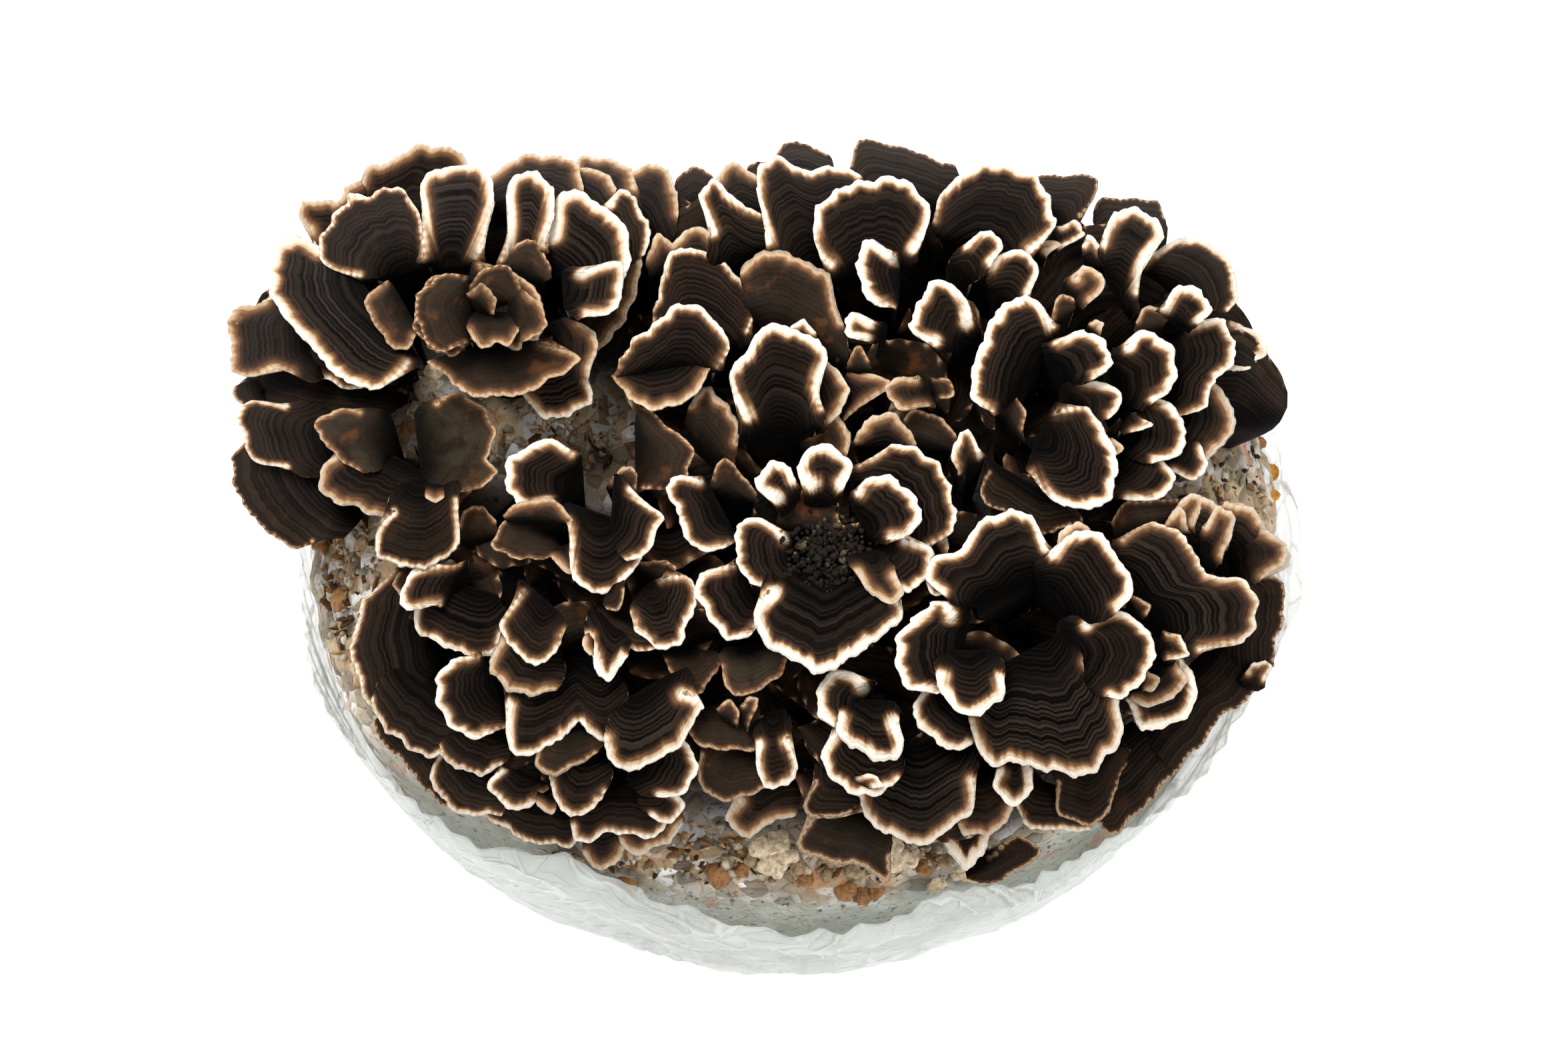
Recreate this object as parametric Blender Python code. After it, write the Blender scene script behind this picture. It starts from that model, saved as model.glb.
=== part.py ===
# A turkey tail colony growing on top of a block of wood chips, in its opened clear bag.
# The outlines of the caps are in millimetres, as the colony looks from in front and
# above; drop_to_height() sets each point down at the height where the cap is.
import math

import bmesh
import bpy
from mathutils import Vector
from mathutils.bvhtree import BVHTree

MM = 0.001

# Grow block: a loaf with a flat base, upright walls and round shoulders.
BLOCK_HEIGHT = 105.0
BLOCK_HALF_WIDTH = 92.0
BLOCK_HALF_DEPTH = 66.0
BLOCK_CENTRE = (2.0, -1.0)
BACK_SQUARENESS = 3.0
FRONT_LEFT_SQUARENESS = 2.0
FRONT_RIGHT_SQUARENESS = 1.7
SHOULDER_START = 0.58
SHOULDER_DROP = 34.0
CROWN_DROP = 4.0
BASE_ROUNDING = 5.0

# Grow bag: film round the sides of the block.
BAG_GAP = 1.2
FILM_THICKNESS = 0.8
BAG_BASE_THICKNESS = 1.0
RIM_HEIGHT = 66.0

# Where the outlines are seen from.
VIEW_ELEVATION = math.radians(75.0)
VIEW_DISTANCE = 550.0

# Caps.
LAYER_STEP = 4.3
CAP_THICKNESS = 2.2
ROOT_SETBACK = 1.0
GAP = 0.5
POINT_SPACING = 10.5
BENT_CAP = 40.0
UNDER_REACH = 0.35
FOOT_REACH = 0.4
SHORT_FOOT = 7.0
RIDGE_WIDTH = 4.0
RIDGE_OVERLAP = 2.0
RIDGE_HEIGHT = 4.6


def superellipse_radius(x, y, half_width, half_depth, squareness):
    across = abs((x - BLOCK_CENTRE[0]) / half_width) ** squareness
    along = abs((y - BLOCK_CENTRE[1]) / half_depth) ** squareness
    return (across + along) ** (1.0 / squareness)


def block_squareness(x, y):
    """The front corners are rounder than the back ones, the right one most of all."""
    if y > BLOCK_CENTRE[1]:
        return BACK_SQUARENESS
    turn = math.atan2(x - BLOCK_CENTRE[0], BLOCK_CENTRE[1] - y)
    share = 0.5 + turn / math.pi
    return FRONT_LEFT_SQUARENESS + share * (FRONT_RIGHT_SQUARENESS - FRONT_LEFT_SQUARENESS)


def block_top(x, y):
    """Height of the block's upper surface over a point of its plan."""
    r = superellipse_radius(x, y, BLOCK_HALF_WIDTH, BLOCK_HALF_DEPTH, block_squareness(x, y))
    reach = min(max((r - SHOULDER_START) / (1.0 - SHOULDER_START), 0.0), 1.0)
    shoulder = SHOULDER_DROP * (1.0 - math.sqrt(1.0 - reach * reach))
    return BLOCK_HEIGHT - CROWN_DROP * min(r, 1.0) ** 2 - shoulder


def layer_drop(x, y):
    """How far the layers of caps sink towards the edge of the block."""
    r = superellipse_radius(x, y, BLOCK_HALF_WIDTH, BLOCK_HALF_DEPTH, 2.6)
    past = max(r - 0.62, 0.0) / 0.5
    return 4.0 * min(r, 1.2) ** 2 + 22.0 * min(past, 1.3) ** 2


def drop_to_height(u, v, height):
    """Plan position of the point seen at (u, v) that lies at this height over the table."""
    above = height - BLOCK_HEIGHT
    sine = math.sin(VIEW_ELEVATION)
    cosine = math.cos(VIEW_ELEVATION)
    scale = (VIEW_DISTANCE * sine - above) / (VIEW_DISTANCE * sine - v * cosine)
    x = scale * u
    y = -VIEW_DISTANCE * cosine + scale * (v * sine + VIEW_DISTANCE * cosine)
    return x, y


def place(u, v, layer, curl):
    """World position of an outline point on its layer over the block."""
    height = BLOCK_HEIGHT + layer * LAYER_STEP
    for _ in range(3):
        x, y = drop_to_height(u, v, height)
        height = BLOCK_HEIGHT + layer * LAYER_STEP - layer_drop(x, y) + curl
    return Vector((x, y, height))


def smooth_curve(points, count):
    """Evenly spaced points on a smooth curve through the outline points."""
    padded = [points[0]] + list(points) + [points[-1]]
    fine = []
    for i in range(1, len(padded) - 2):
        before, start, end, after = (Vector(p) for p in padded[i - 1:i + 3])
        for k in range(8):
            t = k / 8.0
            bend = (2 * before - 5 * start + 4 * end - after) * t * t
            twist = (3 * start - before - 3 * end + after) * t ** 3
            fine.append(0.5 * (2 * start + (end - before) * t + bend + twist))
    fine.append(Vector(padded[-2]))
    lengths = [0.0]
    for a, b in zip(fine, fine[1:]):
        lengths.append(lengths[-1] + (b - a).length)
    if count == 0:
        count = min(max(round(lengths[-1] / POINT_SPACING) + 1, 5), 10)
    even = []
    k = 0
    for i in range(count):
        target = lengths[-1] * i / (count - 1)
        while k < len(fine) - 2 and lengths[k + 1] < target:
            k += 1
        share = (target - lengths[k]) / max(lengths[k + 1] - lengths[k], 1e-9)
        even.append(fine[k].lerp(fine[k + 1], min(max(share, 0.0), 1.0)))
    return even


def root_line(root, edge):
    """Centre and half width of the line that a cap grows from, across the open side of its outline."""
    chord = edge[0] - edge[-1]
    width = chord.length
    chord.normalize()
    gate = (edge[0] + edge[-1]) / 2.0
    growth = chord.orthogonal()
    if growth.dot(sum(edge, Vector((0.0, 0.0))) / len(edge) - gate) < 0:
        growth = -growth
    sideways = min(max((root - gate).dot(chord), -0.3 * width), 0.3 * width)
    back = min((root - gate).dot(growth), -ROOT_SETBACK)
    centre = gate + chord * sideways + growth * back
    round_about = sum((a - centre).cross(b - a) for a, b in zip(edge, edge[1:]))
    for half_width in (max(min(4.0, 0.3 * width), 1.6), 2.4, 1.2, 0.6):
        across = chord * half_width
        first = (edge[0] - centre - across).cross(edge[1] - edge[0]) * round_about
        last = (edge[-2] - centre + across).cross(edge[-1] - edge[-2]) * round_about
        if first > 0 and last > 0:
            break
    return centre, across


def foot_level(spot, standing):
    block_level = block_top(spot.x, spot.y) + GAP
    return block_level if standing else max(block_level, spot.z - SHORT_FOOT)


def sliver(base, near, far, round_about):
    """Whether the piece of a fan between two outline points is too thin to have two sides."""
    a = near - base
    b = far - base
    return a.cross(b) * round_about < 0.22 * a.length * b.length


def faced_out(mesh):
    bmesh.ops.triangulate(mesh, faces=mesh.faces[:])
    bmesh.ops.recalc_face_normals(mesh, faces=mesh.faces[:])
    if mesh.calc_volume(signed=True) < 0.0:
        bmesh.ops.reverse_faces(mesh, faces=mesh.faces[:])
    return mesh


def cap_mesh(layer, curl, root, outline, standing):
    """One cap: a thin fan from its foot out to its growing edge.

    A standing cap has its foot on the block, the others on the cap below.
    """
    edge = smooth_curve(outline, 0)
    root, across = root_line(Vector(root), edge)
    middle = sum(edge, Vector((0.0, 0.0))) / len(edge)
    ends = [root + across, root - across]
    round_about = 1.0 if sum((a - root).cross(b - a) for a, b in zip(edge, edge[1:])) > 0 else -1.0
    while len(edge) > 3 and sliver(ends[0], edge[0], edge[1], round_about):
        edge.pop(0)
    while len(edge) > 3 and sliver(ends[1], edge[-2], edge[-1], round_about):
        edge.pop()
    half = len(edge) / 2.0
    bases = [ends[0] if i < half else ends[1] for i in range(len(edge))]
    heads = [place(*spot, layer, 0.0) for spot in ends]
    longest = max((tip - base).length for base, tip in zip(bases, edge))
    curls = [curl * ((tip - base).length / longest) ** 2 for base, tip in zip(bases, edge)]
    rims = [place(*tip, layer, rise) for tip, rise in zip(edge, curls)]
    bends = []
    if sum((b - a).length for a, b in zip(edge, edge[1:])) > BENT_CAP:
        bends = [place(*base.lerp(tip, 0.6), layer, 0.65 * rise) for base, tip, rise in zip(bases, edge, curls)]

    next_row, share = (bends, UNDER_REACH / 0.6) if bends else (rims, UNDER_REACH)
    lowest = min(point.z for point in next_row)
    unders = []
    for head, spot in zip(heads, ends):
        fall = head.z - min(lowest, head.z)
        level = head.z - fall * share - CAP_THICKNESS * (1.0 + fall / longest)
        x, y = drop_to_height(*spot.lerp(middle, UNDER_REACH), level)
        unders.append(Vector((x, y, max(level, block_top(x, y) + 2.0 * GAP))))
    toes = [head.lerp(under, FOOT_REACH) for head, under in zip(heads, unders)]
    toes = [Vector((p.x, p.y, foot_level(p, standing))) for p in toes]
    heels = [Vector((p.x, p.y, foot_level(p, standing))) for p in heads]

    mesh = bmesh.new()
    heads, bends, rims, unders, toes, heels = (
        [mesh.verts.new(point * MM) for point in row] for row in (heads, bends, rims, unders, toes, heels))

    def fan(pair, row):
        for i, (near, far) in enumerate(zip(row, row[1:])):
            mesh.faces.new((pair[0] if i + 0.5 < half - 0.5 else pair[1], near, far))
        turn = next(i for i in range(len(row)) if i + 0.5 >= half - 0.5)
        mesh.faces.new((pair[0], pair[1], row[turn]))

    rows = [row for row in (bends, rims) if row]
    fan(heads, rows[0])
    fan(unders, rims)
    for inner, outer in zip(rows, rows[1:]):
        for i in range(len(rims) - 1):
            mesh.faces.new((inner[i], inner[i + 1], outer[i + 1], outer[i]))
    for upper, lower in ((unders, toes), (toes, heels), (heels, heads)):
        mesh.faces.new((upper[0], upper[1], lower[1], lower[0]))
    for side in (0, -1):
        profile = [heads[side]] + [row[side] for row in rows]
        for near, far in zip(profile, profile[1:]):
            mesh.faces.new((near, far, unders[side]))
        mesh.faces.new((heads[side], unders[side], toes[side]))
        mesh.faces.new((heads[side], toes[side], heels[side]))
    return faced_out(mesh)


def principled(name, colour, roughness):
    material = bpy.data.materials.new(name)
    material.use_nodes = True
    shader = material.node_tree.nodes["Principled BSDF"]
    shader.inputs["Base Color"].default_value = (*colour, 1.0)
    shader.inputs["Roughness"].default_value = roughness
    return material


def add_object(name, mesh, material):
    data = bpy.data.meshes.new(name)
    mesh.to_mesh(data)
    mesh.free()
    piece = bpy.data.objects.new(name, data)
    piece.data.materials.append(material)
    bpy.context.scene.collection.objects.link(piece)
    return piece


def root_spot(cap):
    """Where the middle of a cap's foot stands on the block."""
    layer, _, root, outline = cap
    root, _ = root_line(Vector(root), smooth_curve(outline, 0))
    spot = place(root.x, root.y, layer, 0.0)
    return Vector((spot.x, spot.y))


def base_ridge(start, end):
    """The low crust of the colony on the block, from one foot to the next."""
    along = (end - start).normalized()
    start = start - along * RIDGE_OVERLAP
    end = end + along * RIDGE_OVERLAP
    across = Vector((-along.y, along.x)) * RIDGE_WIDTH / 2.0
    steps = max(math.ceil((end - start).length / 9.0), 1)
    mesh = bmesh.new()
    rings = []
    for i in range(steps + 1):
        spot = start.lerp(end, i / steps)
        ring = []
        for side, lift in ((1, 2.2), (1, RIDGE_HEIGHT), (-1, RIDGE_HEIGHT), (-1, 2.2)):
            corner = spot + across * side
            ring.append(mesh.verts.new(Vector((*corner, block_top(*corner) + lift)) * MM))
        rings.append(ring)
    for near, far in zip(rings, rings[1:]):
        for i in range(4):
            k = (i + 1) % 4
            mesh.faces.new((near[i], near[k], far[k], far[i]))
    mesh.faces.new(rings[0])
    mesh.faces.new(rings[-1])
    return faced_out(mesh)


def without_flat_edges(data):
    """The same surface without its shortest edges and flat cuts, where that leaves it closed."""
    for shortest in (0.08, 0.03, 0.0):
        mesh = bmesh.new()
        mesh.from_mesh(data)
        bmesh.ops.remove_doubles(mesh, verts=mesh.verts[:], dist=shortest * MM)
        bmesh.ops.dissolve_limit(mesh, angle_limit=math.radians(0.3), verts=mesh.verts[:], edges=mesh.edges[:])
        bmesh.ops.triangulate(mesh, faces=mesh.faces[:])
        closed = all(len(edge.link_faces) == 2 for edge in mesh.edges)
        if closed:
            mesh.to_mesh(data)
        mesh.free()
        if closed:
            break
    return data


def touching_groups(meshes):
    """A group number for each mesh, the same for meshes that touch."""
    trees = [BVHTree.FromBMesh(mesh) for mesh in meshes]
    group = list(range(len(meshes)))
    for i in range(len(meshes)):
        for k in range(i):
            if group[i] != group[k] and len(trees[i].overlap(trees[k])) > 5:
                group = [group[k] if g == group[i] else g for g in group]
    return group


def add_cluster(name, caps, material):
    """A cluster of caps fused where they touch, as they grew, and joined by the crust where they don't."""
    meshes = [cap_mesh(*cap, False) for cap in caps]
    group = touching_groups(meshes)
    standing = []
    for label in sorted(set(group)):
        lowest = min((i for i in range(len(caps)) if group[i] == label), key=lambda i: caps[i][0])
        standing.append(lowest)
        meshes[lowest] = cap_mesh(*caps[lowest], True)
    group = touching_groups(meshes)
    spots = {i: root_spot(caps[i]) for i in standing}
    while len(set(group)) > 1:
        first, second = min(
            ((i, k) for i in standing for k in standing if group[i] != group[k]),
            key=lambda pair: (spots[pair[0]] - spots[pair[1]]).length)
        meshes.append(base_ridge(spots[first], spots[second]))
        group = [group[second] if g == group[first] else g for g in group]

    whole = add_object(name, meshes[0], material)
    others = bpy.data.collections.new("joining")
    for mesh in meshes[1:]:
        piece = add_object("joining", mesh, material)
        others.objects.link(piece)
    if others.objects:
        join = whole.modifiers.new("grown together", "BOOLEAN")
        join.operation = "UNION"
        join.solver = "EXACT"
        join.operand_type = "COLLECTION"
        join.collection = others
        bpy.context.view_layer.update()
        fused = bpy.data.meshes.new_from_object(whole.evaluated_get(bpy.context.evaluated_depsgraph_get()))
        whole.modifiers.clear()
        whole.data = without_flat_edges(fused)
    for piece in list(others.objects):
        bpy.data.objects.remove(piece)
    bpy.data.collections.remove(others)


# Clusters: each cap is (layer, curl, root, outline of its growing edge).
CLUSTERS = {}

CLUSTERS["back_left_rosette"] = [
    # the old curled centre
    (7.6, 2, (-56, 38), [(-57.8, 33), (-58.5, 30.3), (-62, 30), (-65, 32), (-66.8, 36), (-66, 41),
                         (-62, 44.6), (-58, 44.4)]),
    (7.4, 2, (-52, 39), [(-57.9, 32), (-55, 33), (-51.7, 33), (-48.5, 30.5), (-46.8, 31.5), (-47.3, 34),
                         (-44.8, 32.3), (-43.2, 37), (-43, 40), (-45, 42.6), (-50, 45.7), (-55.5, 46.3)]),
    # the bright inner petals
    (6.2, 5, (-72, 38), [(-84, 50), (-88.5, 53), (-92.4, 50), (-93, 44), (-90.4, 37.5), (-85.4, 31.1),
                         (-79.4, 25.8), (-73.9, 24), (-70, 26), (-67.9, 28.8)]),
    (6.0, 5, (-68, 45), [(-76.5, 44.7), (-82.5, 46), (-84, 50), (-81.5, 56.5), (-77.3, 60), (-72, 62),
                         (-68.5, 60), (-65.4, 55), (-65, 48)]),
    (6.5, 5, (-60, 46), [(-65, 48), (-65.3, 56), (-66, 62), (-63, 65.5), (-58.5, 65.7), (-54, 64),
                         (-52.2, 59.5), (-53.3, 53), (-55.5, 48)]),
    (6.8, 4, (-48, 46), [(-51, 47.5), (-49.6, 54), (-50.4, 60), (-48.7, 63.3), (-45, 63.6), (-42, 60.5),
                         (-41.3, 56), (-43, 50)]),
    (6.3, 4, (-42, 45), [(-41.5, 52), (-41, 59.5), (-38, 60), (-32.5, 57), (-28.5, 52.5), (-26.8, 48),
                         (-29, 43.7)]),
    # the duller ring round them
    (5.0, 2, (-77, 48), [(-85.5, 53), (-87.7, 55), (-85.5, 58), (-80.8, 58), (-79.5, 60.5), (-76.5, 61.8)]),
    (5.0, 2, (-70, 54), [(-76.5, 61), (-75, 64.3), (-71, 65.9), (-68.3, 67), (-65.3, 68.3), (-60, 67.6),
                         (-57, 65)]),
    (5.2, 2, (-47, 54), [(-53.3, 63.5), (-51.5, 65.6), (-48, 67.6), (-43.5, 67.7), (-38, 65.8), (-36.2, 61)]),
    (4.6, 1, (-38, 43), [(-26, 50), (-25.3, 47), (-26.8, 40), (-29.5, 35.5), (-33.5, 31)]),
    # the old brown cap in front of the curls, and the fan below it
    (6.9, 1, (-50, 32), [(-64.5, 29), (-62, 26.5), (-56, 23), (-50, 22.8), (-42, 25), (-36.8, 29.3),
                         (-38, 31), (-44, 32.4)]),
    (5.5, -1, (-43, 29), [(-46.8, 22.5), (-43, 18.8), (-38, 19.3), (-34.4, 22), (-35.2, 25.7)]),
]

CLUSTERS["left_edge_shelves"] = [
    (4.8, 0, (-84, 32), [(-94, 40.4), (-97.5, 39.5), (-99.7, 37), (-100, 32), (-100, 28), (-96, 26),
                         (-93, 28.2), (-89, 27)]),
    (2.9, 0, (-77, 26), [(-97.7, 26), (-99.3, 24.5), (-98.5, 22), (-92, 20), (-84, 19), (-74, 18.5)]),
    (3.5, -1, (-79, 14), [(-90, 21.2), (-96, 22.3), (-98.4, 19), (-97, 14), (-95, 10.8), (-90, 10)]),
    (2.6, -1, (-80, 9), [(-95, 16.5), (-99.3, 12), (-98.5, 5), (-94.5, -1), (-88, -4.8), (-84.5, -3)]),
]

CLUSTERS["left_mossy_cluster"] = [
    (5.2, -1, (-71, 15), [(-76.5, 20), (-80, 20.9), (-84, 19), (-84.3, 16), (-81, 12.3), (-77, 9.5)]),
    (4.8, -2, (-70, 12), [(-80.9, 12), (-84, 9.5), (-83, 5), (-78, 3.1), (-71, 0.3), (-66, 3)]),
    (5.6, -2, (-65, 8), [(-59, 4), (-58.7, -1), (-59, -5.3), (-64, -8), (-69, -8.7), (-73.3, -5.5),
                         (-73.2, -0.5), (-70, 2)]),
    (5.3, 0, (-66, 13), [(-62.6, 21.5), (-59, 24), (-53.3, 20), (-51.6, 15), (-54.5, 12), (-51.5, 9),
                         (-56, 5.5), (-60.5, 5)]),
]

CLUSTERS["left_front_cluster"] = [
    (4.9, 1, (-60, -10), [(-62, -14.8), (-67.5, -15.8), (-69.1, -13.5), (-67.5, -9), (-63, -7.5),
                          (-58, -7.5)]),
    (4.4, -2, (-58, -11), [(-66.5, -15), (-66.5, -19), (-62.5, -21.7), (-57.5, -24.2), (-52.6, -24.3),
                           (-50.5, -20)]),
    (3.0, -2, (-63, -18), [(-70.5, -8.7), (-75.5, -13.5), (-76.9, -18), (-78, -22.5), (-77, -27),
                           (-75.5, -33.3), (-68, -34)]),
    (3.4, -3, (-63, -29), [(-74.5, -32), (-73, -36), (-69, -39), (-65, -42.6), (-60, -41)]),
    (1.9, -3, (-62, -38), [(-74, -36), (-70.1, -42.3), (-66.5, -46), (-61.3, -51.7), (-57, -47)]),
    (4.3, -2, (-54, -30), [(-55, -24), (-60.5, -24.7), (-63.2, -30), (-60.5, -36), (-55.5, -39.1),
                           (-50.5, -37)]),
    (3.3, -2, (-54, -34), [(-61, -34), (-63.5, -38.5), (-60, -43.4), (-55, -45.6), (-50.5, -43.5)]),
    (2.3, -2, (-54, -41), [(-62, -41), (-63.5, -46), (-60.9, -51), (-56.5, -53), (-51, -53)]),
    (1.6, -3, (-46, -48), [(-54, -53), (-50, -56), (-46.5, -57.6), (-42, -57.8), (-39, -59), (-37, -57)]),
]

CLUSTERS["left_middle_cluster"] = [
    (6.5, 0, (-44, -13), [(-47, -12.3), (-51, -17.5), (-50.8, -20.5), (-48.3, -23), (-45, -26),
                          (-41.3, -24.3), (-39.3, -19)]),
    (5.6, -1, (-44, -20), [(-51.3, -21.5), (-53, -25), (-50, -30.3), (-46.5, -31.5), (-41, -30.3)]),
    (4.9, -2, (-40, -24), [(-49.7, -33), (-50.4, -40), (-48.3, -42.4), (-44, -41.5), (-40.2, -39.3),
                           (-37.3, -35), (-35.5, -38.3), (-31.5, -40.2), (-28.3, -35)]),
]

CLUSTERS["left_centre_round_cluster"] = [
    (5.8, 1, (-38, 7), [(-38, 12.5), (-42.5, 15.7), (-46.2, 14), (-50, 11), (-49.6, 5.5), (-46, 2.5),
                        (-42, 3.5)]),
    (5.9, 0, (-34, 2), [(-39, 0.5), (-38, -10), (-33.5, -12.8), (-29, -10.8), (-25.5, -8), (-26, -4)]),
    (6.4, 0, (-31, 4), [(-28.4, -7), (-25, -5.5), (-23, -1.5), (-21.5, 1), (-24, 3), (-27.5, 6)]),
]

CLUSTERS["ragged_cap_cluster"] = [
    (6.7, 1, (-20, 27), [(-30.5, 27), (-29, 30.7), (-25.5, 34.3), (-22.2, 36), (-20.5, 39.2), (-15.5, 39.5),
                         (-11.8, 36.5), (-9.9, 31.5), (-12, 28)]),
    (5.9, 0, (-23, 12), [(-26, 21), (-22.5, 19.5), (-19.8, 16.4), (-17, 14.5), (-17, 9.5), (-21, 6),
                         (-25.8, 6.5)]),
    (6.3, 0, (-12, 3), [(-15, 7.6), (-19, 8.7), (-21, 5.5), (-19.4, 2), (-17.5, -3), (-14, -6), (-9, -3.6)]),
    # the fans behind
    (5.8, 1, (-14, 31), [(-23.8, 35.5), (-22.2, 45), (-19.5, 49.7), (-15, 49), (-12, 47.2), (-7.5, 44.5),
                         (-5, 39.5), (-6.8, 34)]),
    (6.2, 3, (-8, 46), [(-13, 52.5), (-15.3, 59), (-12, 61.8), (-9.3, 59), (-4.3, 55.8)]),
]

CLUSTERS["back_edge_caps"] = [
    (4.2, 1, (-29, 54), [(-37.5, 62), (-38, 67.3), (-33, 66.7), (-28, 65.3), (-27, 61)]),
    (4.8, 1, (2, 58), [(-6.5, 65), (-2, 67.2), (0, 70), (4.5, 69.3), (8.2, 67.3)]),
    (4.9, 2, (22, 55), [(12, 65), (13.5, 70), (18, 70), (24, 68), (31, 65.2)]),
]

CLUSTERS["central_rosette"] = [
    (7.9, 2, (1, 2.5), [(-1.3, 4.4), (-4.4, 5.3), (-4.7, 8.3), (-2, 11.3), (0.8, 10.6), (2, 7.5)]),
    (7.7, 3, (6.5, 3), [(4.8, 7), (2.2, 9.2), (3, 12.6), (6.5, 14.3), (10.5, 12.8), (12.6, 10), (10.5, 7)]),
    (7.6, 1, (14, 0), [(13.2, 5.5), (14.5, 8), (18.5, 8.6), (23, 5.2), (24.7, 1), (22.5, -2.6), (18.9, -3)]),
    (6.5, 1, (17, 1), [(13.5, 10.5), (20, 13.8), (26, 12.5), (29.5, 8), (31.2, 4), (29.8, -2), (26, -4.2)]),
    (6.9, 0, (17, -3), [(22, -3.2), (26.5, -4.3), (27.2, -8), (24.3, -11.5), (21.5, -13), (17, -10)]),
    (7.0, -1, (2, -6), [(0, -3), (-4, 1), (-8.7, -1.5), (-8, -7.7), (-5, -12), (-0.5, -11.5)]),
    (7.1, 0, (8, -8), [(-2.3, -12.5), (-5, -14.5), (-5.4, -17), (-4, -21.5), (2, -25.5), (6.5, -27.7),
                       (12.5, -23.7), (17, -21.4), (22, -17), (20.8, -14.3)]),
    # the brown stalk of the two round caps, and the small crusted core
    # the large cap behind the round ones
    (7.3, 2, (-1, 15), [(-6.8, 19), (-10.2, 26), (-7, 30.5), (-4.8, 34.2), (0, 35.8), (6, 33.5),
                        (8.2, 29.5), (6, 25), (6.8, 20.5)]),
    (6.3, 2, (3, 31), [(-7.8, 45.8), (-3.5, 49.8), (1, 48.5), (7.7, 45.3), (9, 40.5), (10.5, 36.5)]),
]

CLUSTERS["left_low_round_cap"] = [
    (6.2, 0, (-7, -12), [(-9, -7.6), (-15, -9), (-16.4, -12), (-14.3, -16.5), (-11.5, -20.5), (-7.5, -21.1),
                         (-4, -18)]),
    (5.6, 0, (-23, -11), [(-22, -9.8), (-16.3, -9.7), (-15.4, -14.5), (-18, -18.3), (-17.5, -21),
                          (-21, -22.5), (-27, -20.5), (-27.7, -15.5)]),
]

CLUSTERS["dark_middle_caps"] = [
    (6.5, 0, (26, 23.5), [(24, 26), (19.5, 26.2), (18.9, 22.5), (22, 20.2), (26.5, 21.3)]),
    (5.5, 1, (18, 13), [(12.7, 15), (14.7, 18.5), (18.7, 20.2), (22, 17.8), (23.8, 14.5)]),
    (6.0, 2, (34.5, 10), [(31.5, 9), (30.2, 12), (33, 17), (34.7, 14.5), (35.5, 12)]),
    (5.0, 0, (43, 8), [(37, 9), (35, 4.8), (38.5, 2.5), (47, -2), (52.8, 0)]),
]

CLUSTERS["back_right_cluster"] = [
    (6.1, 2, (6, 45), [(-2.9, 50.7), (-4.7, 58.5), (-5, 63.5), (-1, 66.6), (3.8, 63.2), (8, 65.6),
                       (14, 62.7)]),
    (6.4, 2, (16, 44), [(8.5, 46.5), (5.2, 50), (6, 54), (5.4, 57), (10, 60), (15, 62.6), (20, 62.5),
                        (26.2, 57.5), (25.8, 53), (23, 49)]),
    (7.2, 3, (20, 44), [(20, 48), (15.5, 51.2), (13, 47.8), (14, 42.5), (15.2, 39.2), (19.7, 38.8)]),
    (5.8, 3, (36, 48), [(27, 54.5), (28.5, 60), (34, 64.7), (41, 64.8), (48, 59.5), (49, 53), (44, 49)]),
    (6.8, 2, (33, 32), [(27, 32.5), (24, 33.3), (23, 36.5), (25.3, 42.5), (29, 44), (33.3, 40), (33, 36)]),
    (4.5, 1, (50, 52), [(45, 63), (50, 64.2), (56.5, 63.5), (56.5, 59.5), (53, 55)]),
]

CLUSTERS["right_back_corner_cluster"] = [
    (5.3, 2, (61, 40), [(57.3, 50.5), (59, 55.5), (61.5, 57.5), (67, 55.7), (69, 52), (65, 46.9),
                        (63.8, 41)]),
    (3.6, 1, (63, 49), [(56, 57), (58, 59.6), (67, 59.2), (68.8, 56)]),
    (4.6, 2, (68, 43), [(64.5, 46.5), (68, 49.8), (74.5, 51.7), (80.5, 47.3), (82.8, 42), (80, 38)]),
]

CLUSTERS["right_round_cap_cluster"] = [
    (6.7, 1, (47, 16), [(49, 20), (54, 21), (58, 17.3), (59.5, 13), (61, 10), (58, 4), (52, 2.3), (46.4, 5.5),
                        (44.3, 9.7)]),
    (6.6, 1, (45, 27), [(48.6, 35.5), (46, 39.7), (40.5, 40.4), (37.2, 36), (34, 30.5), (34.3, 26),
                        (33.8, 22), (37.5, 20)]),
    (5.8, 0, (60, 25), [(62.3, 32), (64, 34.8), (70, 32.2), (71.1, 28), (70.3, 24.2), (67, 22)]),
    (5.3, 0, (62, 17), [(67.5, 22.5), (71.5, 20.3), (72.8, 16.5), (71, 12), (67, 10.9)]),
]

CLUSTERS["right_edge_shelves"] = [
    (4.6, 0, (70, 29), [(73, 35.6), (79, 36.9), (81.2, 33), (81.2, 28.5), (77, 24.2), (76, 21),
                        (71.5, 19.2)]),
    (3.9, -1, (71, 19), [(78, 25), (81, 22), (81.2, 17.5), (78.3, 13), (76, 10.9)]),
]

CLUSTERS["right_tan_shelves"] = [
    (4.7, 0, (74, -4), [(69, 0), (71.5, 4), (75.5, 4.8), (78, 3), (81.3, 0.5), (80, -4)]),
    (4.0, -1, (80, -5), [(80, 3.9), (84, 3), (86.5, -0.7), (91, -5), (90.5, -8.5), (86, -10)]),
]

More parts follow.
